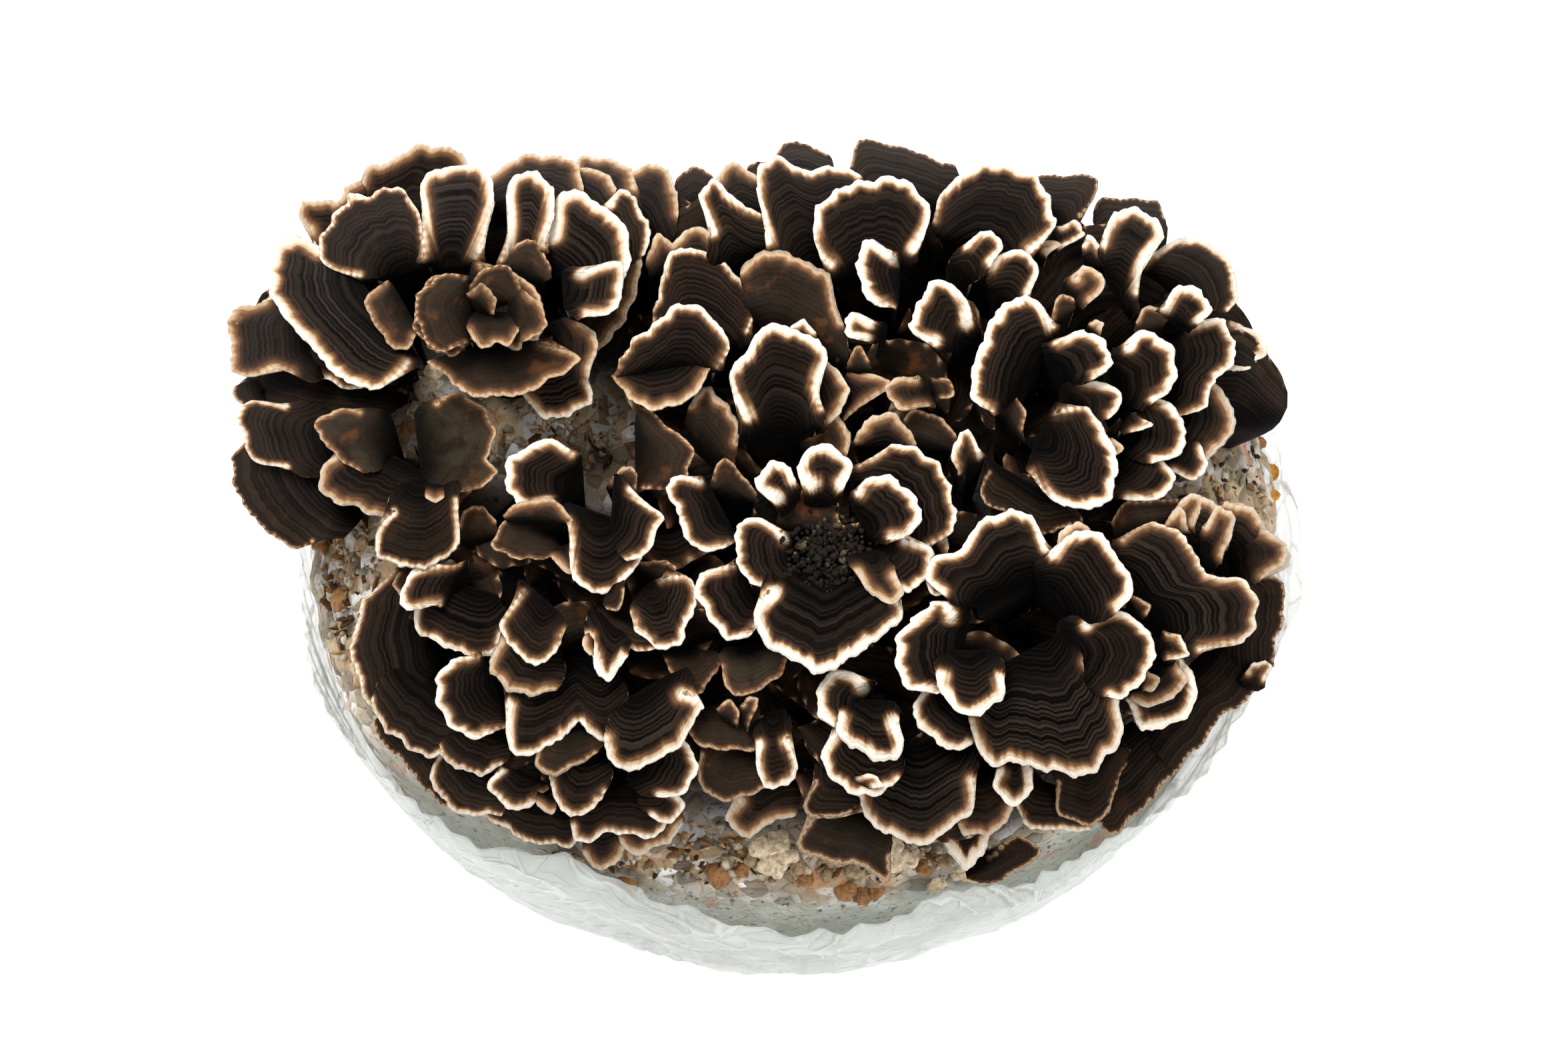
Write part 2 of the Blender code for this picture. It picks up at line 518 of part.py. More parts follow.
CLUSTERS["front_right_cluster"] = [
    (6.8, 0, (33, -20), [(30.3, -16.5), (27.5, -13.7), (24, -16.5), (20.4, -20), (20.6, -26),
                         (22, -29.6), (27.5, -31)]),
    (7.4, 0, (33, -23), [(28, -27.5), (27.5, -30.5), (31, -33.8), (35.5, -34.5), (39.7, -31), (39.5, -27.4)]),
    (6.3, -1, (46, -22), [(33.4, -36), (34.5, -39.3), (37.5, -44.8), (42.3, -43), (45, -44.7), (52, -45),
                          (56, -45.2), (61, -39.5), (61, -35), (59.3, -29), (55, -25)]),
    (7.1, 1, (49, -14), [(48.6, -5.5), (52, -1.2), (57, -2), (61, -7.5), (62.7, -13.5), (60, -16)]),
    (6.5, 0, (51, -23), [(54.5, -18.5), (58, -16), (63, -17), (67, -23), (64.8, -29), (60.8, -32.3),
                         (58.5, -31)]),
    (7.0, 1, (42, -12), [(47.3, -4.5), (45.5, 0), (41, 2.4), (35.5, 0.5), (31, -5), (27.3, -6.5),
                         (25.6, -11), (29, -13)]),
]

CLUSTERS["right_zoned_fan"] = [
    (5.1, 0, (65, -15), [(61, -3), (64, -0.5), (68.3, -0.4), (73, -3.4), (77, -9.7), (82.5, -9.6),
                         (85, -15), (85, -20), (80, -22.6), (75, -22.9)]),
    (4.6, 0, (66, -26), [(62, -32.3), (65, -37.5), (71, -36.4), (74.8, -32), (74.2, -28), (71, -24)]),
    (2.4, -1, (76, -19), [(84, -10), (90.5, -10.5), (90, -17.5), (88.4, -22.5), (88.5, -26)]),
    (2.3, -1, (71, -29), [(87, -25.5), (87, -28.3), (83, -32.3), (78.8, -35), (75, -39.8), (71, -45)]),
]

CLUSTERS["front_right_corner_caps"] = [
    (3.7, -1, (55, -41), [(49.4, -47), (49.1, -52), (52.5, -53.7), (56, -55), (58.9, -52), (60, -48),
                          (62, -43)]),
    (2.1, -2, (57, -39), [(70.5, -45.5), (67, -49), (62.5, -53.5), (59.3, -56.4), (56, -53.5)]),
]

CLUSTERS["front_fan_cluster"] = [
    (6.1, -1, (15, -31), [(14.5, -29.5), (13, -27), (9, -27), (5.8, -30.7), (6.5, -35), (9, -37)]),
    (6.3, -1, (16, -32), [(9.8, -35), (10, -38.5), (16, -42.8), (20.5, -43), (22, -40), (19.7, -35.5)]),
    (5.6, -1, (16, -37), [(9, -38), (6.5, -42), (8, -46.4), (12, -48.6), (16.5, -49.4), (21, -46)]),
    (4.4, -2, (25, -40), [(13.1, -48), (14, -53), (19, -56), (23.5, -58.2), (29.5, -55.8), (34.3, -52.5),
                          (34, -46)]),
    (2.3, -2, (12, -50), [(5, -53.3), (2.1, -58.5), (6.5, -61.3), (13, -62), (18.6, -64.7), (19.2, -60)]),
]

CLUSTERS["front_middle_old_caps"] = [
    (4.3, -1, (-13, -33), [(-17.5, -37.5), (-14.5, -41.2), (-10, -41.1), (-5, -40.7), (-1.5, -38),
                           (-4, -35)]),
    (4.7, -2, (-2, -34), [(-4.6, -40), (-5.2, -43.5), (-3, -47.6), (1, -47.2), (2.5, -43.5), (0.3, -39)]),
    (3.5, -2, (-8, -38), [(-15, -42), (-15.5, -46), (-12.5, -49.8), (-7.5, -50), (-3, -47.8)]),
    (2.6, -3, (-2, -44), [(-8, -50.3), (-10.8, -53.5), (-7.2, -57.5), (-3.5, -54.8), (2, -53)]),
]

CLUSTERS["front_left_fan_cluster"] = [
    (5.4, -1, (-22, -28), [(-18.5, -31), (-14.5, -32), (-16, -36.3), (-18.8, -40.5), (-25, -44.3),
                           (-31.5, -43), (-32.5, -39)]),
    (4.4, -1, (-27, -42), [(-18.7, -38.5), (-15.3, -43), (-19, -49.2), (-23, -49.5)]),
    (3.1, -2, (-30, -46), [(-21, -54), (-23.5, -56.8), (-31, -56.3), (-37, -58.2), (-38.4, -55)]),
    (4.0, -1, (-36, -40), [(-42.4, -44), (-41.9, -50), (-38.5, -52.8), (-34, -51.5), (-32, -48)]),
]


def block_ring(height, inset, sides):
    points = []
    for i in range(sides):
        angle = 2.0 * math.pi * i / sides
        ahead = (BLOCK_CENTRE[0] + math.cos(angle), BLOCK_CENTRE[1] + math.sin(angle))
        reach = superellipse_radius(
            *ahead, BLOCK_HALF_WIDTH - inset, BLOCK_HALF_DEPTH - inset, block_squareness(*ahead))
        x = BLOCK_CENTRE[0] + math.cos(angle) / reach
        y = BLOCK_CENTRE[1] + math.sin(angle) / reach
        points.append(Vector((x, y, height)))
    return points


def loft(rings, closed_ends):
    mesh = bmesh.new()
    grid = [[mesh.verts.new(point * MM) for point in ring] for ring in rings]
    sides = len(rings[0])
    for lower, upper in zip(grid, grid[1:]):
        for i in range(sides):
            k = (i + 1) % sides
            mesh.faces.new((lower[i], lower[k], upper[k], upper[i]))
    for ring in closed_ends(grid):
        mesh.faces.new(ring)
    return faced_out(mesh)


def block_mesh():
    """The block: a flat base, upright walls, then rings over the shoulder to the crown."""
    sides = 22
    start = FILM_THICKNESS + BAG_BASE_THICKNESS + GAP
    rings = [block_ring(start, BASE_ROUNDING, sides), block_ring(start + BASE_ROUNDING, 0.0, sides)]
    for share in (0.9999, 0.96, 0.87, 0.75, 0.58, 0.3):
        ring = []
        for point in block_ring(0.0, 0.0, sides):
            x = BLOCK_CENTRE[0] + (point.x - BLOCK_CENTRE[0]) * share
            y = BLOCK_CENTRE[1] + (point.y - BLOCK_CENTRE[1]) * share
            ring.append(Vector((x, y, block_top(x, y))))
        rings.append(ring)
    return loft(rings, lambda grid: [grid[0], grid[-1]])


def bag_flare(angle, height):
    """How far the film stands off the block, more at the front right and at its rim."""
    lean = (height / RIM_HEIGHT) ** 2
    front_right = max(math.cos(angle + 0.75), 0.0) ** 2
    folds = 0.9 * math.sin(7.0 * angle + 0.6) + 0.6 * math.sin(13.0 * angle)
    return BAG_GAP + 1.5 + lean * (1.0 + 1.5 * front_right) + 0.7 * folds * (0.4 + 0.6 * lean)


def rim_height(angle):
    """The cut rim of the bag is uneven."""
    return RIM_HEIGHT + 3.0 * math.sin(2.0 * angle + 1.0) + 2.5 * math.sin(5.0 * angle)


def bag_mesh():
    """The bag: an open cup of film, its base under the block."""
    sides = 32

    def wall(share, shift):
        ring = []
        for i in range(sides):
            angle = 2.0 * math.pi * i / sides
            height = BAG_BASE_THICKNESS + share * (rim_height(angle) - BAG_BASE_THICKNESS)
            point = block_ring(height, 0.0, sides)[i]
            out = Vector((math.cos(angle), math.sin(angle), 0.0))
            ring.append(point + out * (bag_flare(angle, height) + shift))
        return ring

    base = [Vector((p.x, p.y, 0.0)) for p in wall(0.0, FILM_THICKNESS)]
    outside = [base] + [wall(share, FILM_THICKNESS) for share in (0.4, 0.75, 1.0)]
    inside = [wall(share, 0.0) for share in (1.0, 0.5, 0.0)]
    return loft(outside + inside, lambda grid: [grid[0], grid[-1]])


for old in list(bpy.data.objects):
    bpy.data.objects.remove(old)

flesh = principled("dried cap flesh", (0.13, 0.105, 0.085), 0.85)
chips = principled("grown through wood chips", (0.42, 0.36, 0.27), 0.9)
film = principled("clear bag film", (0.85, 0.85, 0.82), 0.25)

add_object("substrate_block", block_mesh(), chips)
add_object("grow_bag", bag_mesh(), film)
for cluster, caps in CLUSTERS.items():
    add_cluster(cluster, caps, flesh)
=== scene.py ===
# A turkey tail colony growing on a block of wood chips, in its opened clear bag, seen
# from above on a white table.
import math

import bmesh
import bpy
import numpy as np
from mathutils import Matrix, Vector


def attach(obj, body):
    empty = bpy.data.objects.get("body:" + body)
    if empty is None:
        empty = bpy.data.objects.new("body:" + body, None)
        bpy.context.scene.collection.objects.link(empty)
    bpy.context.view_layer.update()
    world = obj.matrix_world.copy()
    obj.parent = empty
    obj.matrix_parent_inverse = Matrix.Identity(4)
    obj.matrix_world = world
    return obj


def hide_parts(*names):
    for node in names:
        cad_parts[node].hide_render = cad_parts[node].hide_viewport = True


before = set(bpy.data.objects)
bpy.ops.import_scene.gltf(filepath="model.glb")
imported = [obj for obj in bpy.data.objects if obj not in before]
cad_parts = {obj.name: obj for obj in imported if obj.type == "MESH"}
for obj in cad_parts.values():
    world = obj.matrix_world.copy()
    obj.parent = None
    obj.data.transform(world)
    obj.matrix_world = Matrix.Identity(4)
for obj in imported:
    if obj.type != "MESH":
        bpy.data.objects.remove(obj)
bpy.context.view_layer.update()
bpy.ops.object.select_all(action="DESELECT")
MM = 0.001

# Substrate block: a loaf of pale, grown through wood chips. Flat base, upright walls and
# round shoulders, with a lumpy surface and loose chips pressed into it. Its size is that
# of the solid it stands for; colours are cream grey mycelium, brown chips and orange drops,
# and a painted shade, near black, over its top under the colony.
BLOCK_HEIGHT = 105.0
BLOCK_HALF_WIDTH = 92.0
BLOCK_HALF_DEPTH = 66.0
BLOCK_CENTRE = np.array((2.0, -1.0))
SHOULDER_START = 0.58
SHOULDER_DROP = 34.0
CROWN_DROP = 4.0
rng = np.random.default_rng(7)


def plan_radius(x, y, squareness):
    across = np.abs((x - BLOCK_CENTRE[0]) / BLOCK_HALF_WIDTH) ** squareness
    along = np.abs((y - BLOCK_CENTRE[1]) / BLOCK_HALF_DEPTH) ** squareness
    return (across + along) ** (1.0 / squareness)


def block_radius(x, y):
    """1 on the block's outline, whose front corners are rounder, the right one most."""
    turn = np.arctan2(x - BLOCK_CENTRE[0], BLOCK_CENTRE[1] - y)
    front = 2.0 - 0.3 * np.clip(0.5 + turn / np.pi, 0.0, 1.0)
    return plan_radius(x, y, np.where(y > BLOCK_CENTRE[1], 3.0, front))


def block_top(x, y):
    r = block_radius(x, y)
    reach = np.clip((r - SHOULDER_START) / (1.0 - SHOULDER_START), 0.0, 1.0)
    shoulder = SHOULDER_DROP * (1.0 - np.sqrt(1.0 - reach ** 2))
    return BLOCK_HEIGHT - CROWN_DROP * np.minimum(r, 1.0) ** 2 - shoulder


def wave(x, seed):
    """Smooth irregular wave between about -1 and 1."""
    slow = np.sin(x + seed * 1.7) + 0.6 * np.sin(2.3 * x + seed * 4.1)
    return (slow + 0.35 * np.sin(5.1 * x + seed * 7.3)) / 1.6


def lumps(x, y, z, size, seed):
    """Rounded lumps of about this size in mm."""
    a = wave(x / size * 2.2 + 1.3 * np.sin(y / size * 1.1 + seed), seed)
    b = wave(y / size * 2.2 + 1.3 * np.sin(z / size * 1.3 + 2 * seed), seed + 3.3)
    c = wave(z / size * 2.2 + 1.3 * np.sin(x / size * 1.2 + 3 * seed), seed + 6.1)
    return (a * b + b * c + c * a) * 0.7


def mesh_object(name, verts, faces, material, smooth=True):
    data = bpy.data.meshes.new(name)
    data.from_pydata(verts.tolist() if hasattr(verts, "tolist") else verts, [], faces)
    data.validate()
    piece = bpy.data.objects.new(name, data)
    bpy.context.scene.collection.objects.link(piece)
    data.materials.append(material)
    if smooth:
        data.shade_smooth()
    return piece


def grid_faces(rows, columns, closed):
    """Quads of a grid of vertices; closed joins the last column to the first."""
    r = np.arange(rows - 1)[:, None] * columns
    c = np.arange(columns if closed else columns - 1)[None, :]
    d = (c + 1) % columns
    return np.stack([r + c, r + d, r + columns + d, r + columns + c], -1).reshape(-1, 4).tolist()


class Nodes:
    """Short calls for building the node tree of one material."""

    def __init__(self, name):
        self.material = bpy.data.materials.new(name)
        self.material.use_nodes = True
        self.tree = self.material.node_tree
        self.shader = self.tree.nodes["Principled BSDF"]

    def add(self, kind, inputs=(), out=0, **settings):
        node = self.tree.nodes.new(kind)
        for key, value in settings.items():
            setattr(node, key, value)
        for key, value in dict(inputs).items():
            self.feed(node.inputs[key], value)
        return node.outputs[out]

    def feed(self, socket, value):
        if isinstance(value, bpy.types.NodeSocket):
            self.tree.links.new(value, socket)
        elif isinstance(value, tuple) and len(value) == 3 and socket.type == "RGBA":
            socket.default_value = (*value, 1.0)
        else:
            socket.default_value = value

    def set(self, **inputs):
        for key, value in inputs.items():
            self.feed(self.shader.inputs[key.replace("_", " ")], value)

    def math(self, operation, a, b=0.0, c=0.0):
        return self.add("ShaderNodeMath", {0: a, 1: b, 2: c}, operation=operation)

    def mix(self, share, a, b):
        return self.add("ShaderNodeMix", {0: share, 6: a, 7: b}, out=2, data_type="RGBA")

    def multiply(self, share, a, b):
        return self.add("ShaderNodeMix", {0: share, 6: a, 7: b}, out=2, data_type="RGBA",
                        blend_type="MULTIPLY")

    def step(self, value, start, end, low=0.0, high=1.0):
        """Smooth change from low at start to high at end."""
        return self.add("ShaderNodeMapRange", {0: value, 1: start, 2: end, 3: low, 4: high},
                        interpolation_type="SMOOTHSTEP")

    def noise(self, vector, scale, detail=2.0, roughness=0.5, dimensions="3D"):
        key = "W" if dimensions == "1D" else "Vector"
        inputs = {key: vector, "Scale": scale, "Detail": detail, "Roughness": roughness}
        return self.add("ShaderNodeTexNoise", inputs, noise_dimensions=dimensions)

    def voronoi(self, vector, scale, out=0, **settings):
        return self.add("ShaderNodeTexVoronoi", {"Vector": vector, "Scale": scale}, out=out, **settings)

    def place(self):
        return self.add("ShaderNodeTexCoord", out=3)

    def parts(self, name):
        """The three numbers of a vector attribute."""
        vector = self.add("ShaderNodeAttribute", out=1, attribute_name=name)
        node = self.tree.nodes.new("ShaderNodeSeparateXYZ")
        self.tree.links.new(vector, node.inputs[0])
        return node.outputs[0], node.outputs[1], node.outputs[2]

    def bump(self, height, distance, strength=1.0, normal=None):
        inputs = {"Height": height, "Distance": distance, "Strength": strength}
        if normal is not None:
            inputs["Normal"] = normal
        return self.add("ShaderNodeBump", inputs)


chips = Nodes("grown through wood chips")
spot = chips.place()
warp = chips.noise(spot, 90.0, 3.0)
patches = chips.noise(spot, 34.0, 4.0, 0.6)
cells = chips.voronoi(spot, 330.0, out=1)
cell_shade = chips.add("ShaderNodeSeparateColor", {0: cells})
cell_edge = chips.voronoi(spot, 330.0, out=0, feature="DISTANCE_TO_EDGE")
wood = chips.add("ShaderNodeValToRGB", {0: cell_shade})
WOOD_COLOURS = ((0.0, (0.05, 0.025, 0.012)), (0.3, (0.22, 0.1, 0.035)), (0.6, (0.42, 0.25, 0.11)),
                (1.0, (0.62, 0.48, 0.3)))
for at, colour in WOOD_COLOURS:
    if at in (0.0, 1.0):
        stop = wood.node.color_ramp.elements[int(at)]
    else:
        stop = wood.node.color_ramp.elements.new(at)
    stop.color = (*colour, 1.0)
mycelium = chips.mix(chips.noise(spot, 260.0, 4.0, 0.7), (0.040, 0.035, 0.021), (0.20, 0.178, 0.125))
grown = chips.step(patches, 0.40, 0.56)
colour = chips.mix(chips.math("MULTIPLY", grown, 0.65), wood, mycelium)
split = chips.tree.nodes.new("ShaderNodeSeparateXYZ")
chips.tree.links.new(spot, split.inputs[0])
level = chips.math("ADD", split.outputs[2], chips.math("MULTIPLY", patches, 0.03))
wall_share = chips.step(level, 0.086, 0.100, 1.0, 0.0)
wall_share = chips.math("MULTIPLY", wall_share, chips.step(split.outputs[1], -0.05, -0.02, 1.0, 0.12))
pale = chips.mix(chips.noise(spot, 180.0, 4.0, 0.7), (0.40, 0.42, 0.36), (0.72, 0.75, 0.69))
colour = chips.mix(chips.math("MULTIPLY", wall_share, 0.86), colour, pale)
orange = chips.step(chips.noise(spot, 120.0, 2.0), 0.60, 0.70)
colour = chips.mix(chips.math("MULTIPLY", orange, 0.75), colour, (0.42, 0.15, 0.03))
dirt = chips.step(chips.noise(spot, 700.0, 3.0), 0.6, 0.68)
colour = chips.mix(chips.math("MULTIPLY", dirt, 0.8), colour, (0.03, 0.02, 0.014))
# painted shade: under the colony the block's top is mixed towards near black, as if shaded by the caps above
painted_shade_under_caps = chips.add("ShaderNodeAttribute", out=2, attribute_name="shade")
colour = chips.mix(painted_shade_under_caps, colour, (0.018, 0.013, 0.010))
height = chips.math("ADD", chips.step(cell_edge, 0.0, 0.25), chips.noise(spot, 900.0, 4.0, 0.7))
chips.set(Base_Color=colour, Roughness=chips.step(orange, 0.0, 1.0, 0.85, 0.3),
          Normal=chips.bump(height, 0.0006, 0.8))

SHOWN_PATCHES = ((-80, -10, 13, 20), (-40, 16, 16, 10), (84, 9, 11, 20), (-2, -62, 52, 8), (84, 26, 8, 8),
                 (-66, 22, 6, 6), (-92, -10, 12, 14))


def shown(x, y):
    """1 where the picture shows the bare block, 0 under the colony."""
    bare = np.zeros_like(x)
    for u, v, half_width, half_height in SHOWN_PATCHES:
        r = np.hypot((x - u) / half_width, (y - v) / half_height)
        bare = np.maximum(bare, np.clip(1.6 - r, 0.0, 1.0))
    r = block_radius(x, y)
    return np.maximum(bare, np.clip((r - 0.9) / 0.08, 0.0, 1.0))


ANGLES = 420
angle = np.linspace(0.0, 2.0 * np.pi, ANGLES, endpoint=False)
unit = block_radius(BLOCK_CENTRE[0] + np.cos(angle), BLOCK_CENTRE[1] + np.sin(angle))
rim_xy = np.stack([np.cos(angle) / unit, np.sin(angle) / unit], -1)
rings = []
for share in np.concatenate([np.linspace(0.02, 0.4, 20, endpoint=False), np.linspace(0.4, 0.9995, 76)]):
    xy = BLOCK_CENTRE + rim_xy * share
    rings.append(np.column_stack([xy, block_top(xy[:, 0], xy[:, 1])]))
wall_top = rings[-1][:, 2].min()
for height_mm in np.linspace(wall_top - 1.0, 7.5, 22):
    rings.append(np.column_stack([BLOCK_CENTRE + rim_xy, np.full(ANGLES, height_mm)]))
for height_mm, inset in ((5.0, 1.2), (3.2, 3.0), (2.3, 5.0)):
    foot_xy = BLOCK_CENTRE + rim_xy * (1.0 - inset / 80.0)
    rings.append(np.column_stack([foot_xy, np.full(ANGLES, height_mm)]))
points = np.array(rings).reshape(-1, 3)
x, y, z = points.T
out = np.column_stack([(x - BLOCK_CENTRE[0]) / 92.0, (y - BLOCK_CENTRE[1]) / 66.0, (z - 60.0) / 60.0])
out /= np.linalg.norm(out, axis=1)[:, None]
push = 1.1 * lumps(x, y, z, 17.0, 0.4) + 0.55 * lumps(x, y, z, 6.5, 2.2) + 0.3 * lumps(x, y, z, 2.6, 4.4)
push = np.minimum(push, 1.1) * np.clip((z - 3.0) / 8.0, 0.0, 1.0)
points = points + out * push[:, None]
faces = grid_faces(len(rings), ANGLES, True)
faces.append(list(range(ANGLES))[::-1])
faces.append(list(range((len(rings) - 1) * ANGLES, len(rings) * ANGLES)))
block = mesh_object("grown_through_block", points * MM, faces, chips.material)
# painted shade under the colony: 0.93 where caps hide the block, fading out over its bare patches and outer
# rim
shade = block.data.attributes.new("shade", "FLOAT", "POINT")
shade.data.foreach_set("value", (1.0 - shown(x, y)) * 0.93)
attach(block, "root")
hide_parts("substrate_block")

# Loose wood chips and cream lumps lying on the bare parts of the block: splinters 1 to
# 4 mm long, crumbs 1 to 2 mm and lumps of tissue 3 to 7 mm across, in browns and creams.
loose = Nodes("loose wood chips")
tint = loose.add("ShaderNodeAttribute", out=0, attribute_name="tint")
grain = loose.noise(loose.place(), 900.0, 5.0, 0.7)
pits = loose.mix(loose.step(grain, 0.3, 0.62), (0.22, 0.19, 0.16), (1.25, 1.25, 1.25))
tint = loose.multiply(0.7, tint, pits)
loose.set(Base_Color=tint, Roughness=0.8, Specular_IOR_Level=0.15, Normal=loose.bump(grain, 0.0003, 0.7))


def unit_ball(subdivisions):
    ball = bmesh.new()
    bmesh.ops.create_icosphere(ball, subdivisions=subdivisions, radius=1.0)
    points = np.array([v.co for v in ball.verts])
    faces = np.array([[v.index for v in f.verts] for f in ball.faces])
    ball.free()
    return points, faces


CHIP_COLOURS = np.array(((0.2, 0.1, 0.04), (0.36, 0.22, 0.1), (0.1, 0.045, 0.018), (0.45, 0.32, 0.18),
                         (0.05, 0.025, 0.012)))
CREAM_COLOURS = np.array(((0.55, 0.48, 0.36), (0.4, 0.34, 0.25), (0.28, 0.25, 0.18)))


def grains(name, centres, sizes, tints, material, lumpy=0.35, subdivisions=2):
    """One object of small lumps, each an uneven ball turned and stretched its own way."""
    ball_points, ball_faces = unit_ball(subdivisions)
    all_points, all_faces, all_tints = [], [], []
    for centre, size, colour in zip(centres, sizes, tints):
        turn, _ = np.linalg.qr(rng.normal(size=(3, 3)))
        push = 1.0 + lumpy * wave(ball_points @ rng.normal(size=3) * 2.5, rng.uniform(0.0, 9.0))
        points = (ball_points * push[:, None] * size) @ turn.T + centre
        all_faces.append(ball_faces + len(all_points) * len(ball_points))
        all_points.append(points)
        all_tints.append(np.tile((*colour, 1.0), (len(points), 1)))
    piece = mesh_object(name, np.concatenate(all_points) * MM, np.concatenate(all_faces).tolist(), material)
    field = piece.data.attributes.new("tint", "FLOAT_COLOR", "POINT")
    field.data.foreach_set("color", np.concatenate(all_tints).ravel())
    return piece


# The picture looks at the colony from 75 degrees above the table, 550 mm away.
VIEW_ELEVATION = math.radians(75.0)
VIEW_DISTANCE = 550.0


def on_block(u, v):
    """The point of the block's surface that the picture shows at u, v."""
    height = np.full(np.shape(u), 95.0)
    for _ in range(6):
        sine, cosine = math.sin(VIEW_ELEVATION), math.cos(VIEW_ELEVATION)
        scale = (VIEW_DISTANCE * sine - (height - BLOCK_HEIGHT)) / (VIEW_DISTANCE * sine - v * cosine)
        x = scale * u
        y = -VIEW_DISTANCE * cosine + scale * (v * sine + VIEW_DISTANCE * cosine)
        height = block_top(x, y)
    return np.stack([x, y, height], -1)


spots, sizes, tints = [], [], []
LITTERED = ((-80, -10, 9, 17, 190), (-40, 16, 13, 8, 150), (82, 9, 9, 18, 170), (-2, -60, 46, 4.5, 360),
            (-66, 22, 5, 5, 40))
for u, v, half_width, half_height, count in LITTERED:
    at = rng.normal(0.0, 0.55, (count, 2)) * (half_width, half_height) + (u, v)
    spots.append(on_block(at[:, 0], at[:, 1]))
    chip = rng.random(count) < 0.62
    length = rng.uniform(0.6, 2.0, count)
    sizes.append(np.where(chip[:, None], np.stack([length, length * 0.42, length * 0.2], -1),
                          np.stack([length, length * 0.9, length * 0.75], -1) * 0.55))
    browns = CHIP_COLOURS[rng.integers(0, 5, count)]
    creams = CREAM_COLOURS[rng.integers(0, 3, count)]
    tints.append(np.where(chip[:, None], browns, creams))
spots, sizes, tints = np.concatenate(spots), np.concatenate(sizes), np.concatenate(tints)
kept = block_radius(spots[:, 0], spots[:, 1]) < 0.97
scatter = grains("loose_chips", spots[kept], sizes[kept], tints[kept], loose.material)
# lumps of cream tissue and single chips that the picture shows along the front
FRONT_LUMPS = (
    (-3.5, -58, 3.0, 0), (-1, -57, 2.6, 0), (-2, -61, 3.2, 0), (0.5, -60, 2.2, 0), (-5.5, -60.5, 2.0, 1),
    (2.5, -62, 1.8, 1), (17.5, -58.5, 2.4, 0), (20, -57.8, 2.2, 0), (19.5, -60.5, 2.8, 0),
    (22.5, -60, 2.0, 0), (16, -61.5, 1.8, 1), (27.5, -65, 2.2, 0), (31.5, -63, 2.0, 0), (34, -63.5, 2.2, 0),
    (11, -66, 2.6, 2), (14, -67, 2.2, 2), (16.5, -66.5, 1.8, 2), (3.5, -64, 2.2, 2), (-12, -63, 2.8, 2),
    (-27.5, -66.5, 2.4, 2), (-7.5, -62.5, 2.0, 2), (25, -62, 1.8, 2), (8, -63.5, 1.8, 1), (29, -61, 1.8, 1),
    (36.5, -61.5, 1.8, 1), (13, -62.5, 2.0, 1), (-64, 24, 2.4, 0), (-66, 20, 2.2, 0), (-63, 27, 2.0, 0),
    (-80, -14, 2.0, 2), (-83, -4, 2.2, 2), (-78, -22, 1.8, 1), (88, 9, 2.2, 3), (87.5, 5, 2.0, 3),
    (86, 15, 1.8, 2))
LUMP_COLOURS = np.array(((0.68, 0.55, 0.38), (0.33, 0.24, 0.14), (0.30, 0.15, 0.06), (0.62, 0.27, 0.04)))
lumps_at = np.array(FRONT_LUMPS)
stretch = rng.uniform(0.7, 1.1, (len(lumps_at), 3))
big = grains("cream_lumps", on_block(lumps_at[:, 0], lumps_at[:, 1]), stretch * lumps_at[:, 2:3],
             LUMP_COLOURS[lumps_at[:, 3].astype(int)], loose.material, 0.22, 3)
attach(big, "root")
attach(scatter, "root")

# Grow bag: milky clear film, softly crumpled round the sides of the block and open above,
# its cut rim uneven: 66 mm high, 84 mm in front, 0.15 mm thick. It whitens along its
# creases and where it is hazy, and lets the block show elsewhere.
film = Nodes("milky bag film")
spot = film.place()
ripple = film.add("ShaderNodeTexNoise", {"Vector": spot, "Scale": 30.0}, out=1)
bent = film.add("ShaderNodeVectorMath", {0: ripple, 1: (0.03, 0.03, 0.03), 2: spot},
                operation="MULTIPLY_ADD")
creases = film.step(film.voronoi(bent, 40.0, feature="DISTANCE_TO_EDGE"), 0.0, 0.06, 1.0, 0.0)
fine = film.step(film.voronoi(bent, 105.0, feature="DISTANCE_TO_EDGE"), 0.0, 0.08, 1.0, 0.0)
cloud = film.step(film.noise(spot, 26.0, 3.0), 0.3, 0.75)
veil = film.math("ADD", film.math("MULTIPLY", creases, 0.20), film.math("MULTIPLY", fine, 0.10))
veil = film.math("ADD", veil, film.math("MULTIPLY_ADD", cloud, 0.18, 0.27))
height = film.math("ADD", film.math("MULTIPLY", creases, 0.8), film.math("MULTIPLY", fine, 0.35))
height = film.math("ADD", height, film.math("MULTIPLY", film.noise(spot, 45.0, 3.0), 1.2))
film.set(Base_Color=(0.80, 0.84, 0.80), Roughness=film.math("MULTIPLY_ADD", cloud, 0.2, 0.2), IOR=1.45,
         Alpha=veil, Normal=film.bump(height, 0.0012, 0.8))

BAG_ANGLES = 400
BAG_ROWS = 54
RIM_HEIGHT = 66.0
angle = np.linspace(0.0, 2.0 * np.pi, BAG_ANGLES, endpoint=False)
unit = block_radius(BLOCK_CENTRE[0] + np.cos(angle), BLOCK_CENTRE[1] + np.sin(angle))
wall_xy = BLOCK_CENTRE + np.stack([np.cos(angle) / unit, np.sin(angle) / unit], -1)
outward = np.stack([np.cos(angle), np.sin(angle)], -1)
rim = RIM_HEIGHT + 3.0 * np.sin(2.0 * angle + 1.0) + 2.5 * np.sin(5.0 * angle)
rim = rim + 1.6 * wave(17.0 * angle, 1.0)
rim = rim + 17.0 * np.clip(-np.sin(angle) * 1.6 - 0.45, 0.0, 1.0)
over = np.linspace(SHOULDER_START, 1.0, 60)
heights = block_top(BLOCK_CENTRE[0] + BLOCK_HALF_WIDTH * over, np.full(60, BLOCK_CENTRE[1]))
front_right = np.maximum(np.cos(angle + 0.75), 0.0) ** 2
rings = []
